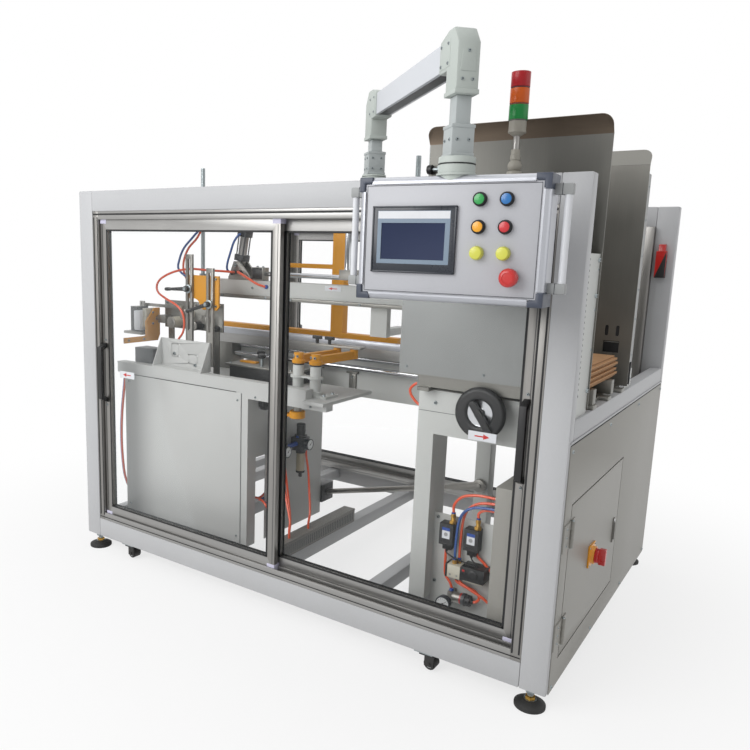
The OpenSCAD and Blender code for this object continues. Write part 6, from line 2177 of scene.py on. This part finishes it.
@dataclass
class EndTrim:
    """Hinge pins, latch and screws on the magazine end."""

    kit: Workshop
    hinge: Pair = (1908.0, 80.5)
    hinge_feet: Pair = (206.0, 485.0)
    hinge_length: float = 75.0
    hinge_face: float = 1905.0
    switch: Pair = (347.0, 375.0)

    def build(self) -> None:
        """Make the trim of the magazine end."""
        pins = Shape()
        x, y = self.hinge
        for z in self.hinge_feet:
            for end, way in ((z + self.hinge_length, UP), (z, DOWN)):
                pins.lathe((x, y, end), way, [(4, -1), (4.6, 0.2), (3.2, 2.4)], Finishes.ZINC, 16)
        self.kit.piece(pins, "hinge_pins", "frame", "bright_steel")
        fixed = [(self.hinge_face, 44.0, z + d) for z in self.hinge_feet for d in (14, 37.5, 61)]
        self.kit.repeats.heads("hinge_screws", "frame", aimed(fixed, RIGHT), 7, 1.6)
        moving = [(self.hinge_face, 104.0, z + d) for z in self.hinge_feet for d in (14, 61)]
        self.kit.repeats.heads("door_hinge_screws", "cabinet_door", aimed(moving, RIGHT), 7, 1.6)
        sy, sz = self.switch
        corners = [(1907.0, sy + a * 27, sz + b * 27) for a in (-1, 1) for b in (-1, 1)]
        self.kit.repeats.heads("switch_screws", "cabinet_door", aimed(corners, RIGHT), 6, 1.6)
        latch = Shape()
        latch.box((1904.6, 626, 332), (1905.5, 627.4, 394), Finishes.DARK, 0.2, 1)
        latch.box((1904.6, 634.6, 332), (1905.5, 636, 394), Finishes.DARK, 0.2, 1)
        latch.lathe((1904.8, 631, 400), RIGHT, [(4.2, 0), (4.4, 0.8), (3.6, 1.6), (1, 1.7)],
                    Finishes.CHROME, 20)
        self.kit.piece(latch, "latch_trim", "cabinet_door", "black_plastic")
        rim = Shape()
        rim.lathe((1917.1, sy, sz), RIGHT, [(22.2, 0.4), (24, 0.8), (24, 2.4), (22.2, 3)], Finishes.RED, 36)
        rim.box((1927.8, sy - 8.6, sz - 24.6), (1931, sy + 8.6, sz + 24.6), Finishes.RED, 1.2)
        self.kit.piece(rim, "switch_rim", "main_switch", "red_plastic")


@dataclass
class MagazineTrim:
    """Clamping knob, hems and screws of the magazine."""

    kit: Workshop
    knob: Triple = (1430.0, 152.0, 1489.0)

    def build(self) -> None:
        """Make the magazine's trim."""
        x, y, z = self.knob
        shape = Shape()
        shape.box((x - 4, y - 10, z - 9), (x + 14, 165.2, z + 9), Finishes.ZINC, 1.2)
        shape.rod((x + 2, y, z), (x - 26, y, z), 5.0, Finishes.ZINC)
        shape.lathe((x - 22, y, z), LEFT, [(8, 0), (13.5, 2), (14, 12), (12, 16), (5, 17.5)],
                    Finishes.BLACK, 24)
        shape.box((1387.6, 164.4, 850), (1391, 168.6, 1560), Finishes.APRON, 0.6, 1)
        shape.box((1326, 161.4, 882), (1859, 162.2, 886), Finishes.STAINLESS, 0.2, 1)
        self.kit.piece(shape, "hopper_knob", "frame", "stainless")
        spots = aimed([(x, 162, z) for x in (1350, 1600, 1846) for z in (906, 1118)], FRONT)
        spots += aimed([(1892, y, 866) for y in (650, 700)], RIGHT)
        spots += aimed([(1899.2, 646, z) for z in (950, 1064, 1156, 1260, 1370, 1470)], RIGHT)
        spots += aimed([(1892, 158, z) for z in (905, 1010, 1115, 1220)], RIGHT)
        self.kit.repeats.heads("magazine_screws", "frame", spots, 8, 1.6)
        self._curtain()
        self._rear()

    def _curtain(self) -> None:
        """Row of dark lenses up the white angle."""
        spots: list[Spot] = [((1892.0, 66.0, 900.0 + 14.4 * k), UP) for k in range(25)]
        self.kit.repeats.blocks("curtain_lenses", "frame", spots, (1.4, 5.0, 5.6), Finishes.SEAL,
                                "black_plastic")

    def _rear(self) -> None:
        """Folded edge, seal and sensor housing of the rear plate."""
        shape = Shape()
        shape.box((1896.4, 627.6, 926), (1899.3, 664, 1508), Finishes.APRON, 0.6, 1)
        shape.box((1892, 663.6, 850), (1897.6, 671, 1508), Finishes.SEAL, 0.8, 1)
        shape.box((1808, 627.8, 946), (1870, 652, 1050), Finishes.SEAL, 2.0)
        shape.box((1817, 626.2, 986.4), (1861, 628.4, 989), Finishes.ZINC, 0.3, 1)
        self.kit.piece(shape, "rear_plate_edge", "frame", "stainless")


@dataclass
class FootTrim:
    """Nuts of the feet and hubs of the casters."""

    kit: Workshop
    feet_x: Pair = (44.0, 1852.0)
    feet_y: Pair = (28.0, 1252.0)
    caster_x: Pair = (252.0, 1554.0)
    caster_y: Pair = (26.0, 1254.0)
    axle_z: float = 47.0

    def build(self) -> None:
        """Make the trim below the frame."""
        shape = Shape()
        for x in self.feet_x:
            for y in self.feet_y:
                shape.lathe((x, y, 24), UP, [(43, 0.3), (43.2, 7), (40.5, 10.5), (30, 15.5), (19.5, 21),
                                             (10, 22.6)], Finishes.RUBBER, 48)
                shape.lathe((x, y, 46), UP, [(9, 0), (14.5, 0.4), (14.5, 8), (12, 9.4), (9, 9.6)],
                            Finishes.BRASS, 6)
        self.kit.piece(shape, "foot_domes", "frame", "foot_rubber")
        hubs = Shape()
        for x in self.caster_x:
            for y in self.caster_y:
                for s in (-1, 1):
                    hubs.lathe((x, y + s * 14.6, self.axle_z), (0, s, 0),
                               [(13, 0), (13, 1.2), (11, 1.8), (6, 2)], Finishes.GREY, 24)
        self.kit.piece(hubs, "caster_hubs", "frame", "foot_rubber")


def main() -> None:
    """Build and dress the whole machine."""
    logging.basicConfig(level=logging.INFO, format="%(name)s: %(message)s")
    shop = Paintshop()
    kit = Workshop(shop, Repeats(shop))
    Studio().build()
    Solids(CadDress(shop)).dress()
    FrameTrim(kit).build()
    for side in Side:
        SlidingDoor(kit, side).build()
    for trim in (DoorSigns, TowerTrim, PanelArmTrim, OperatorPanel, ValveTrim, FilterTrim, TableTrim,
                 FormingTrim, FlapTrim, DuctTrim, EndTrim, MagazineTrim, FootTrim):
        trim(kit).build()


if __name__ == "__main__":
    main()
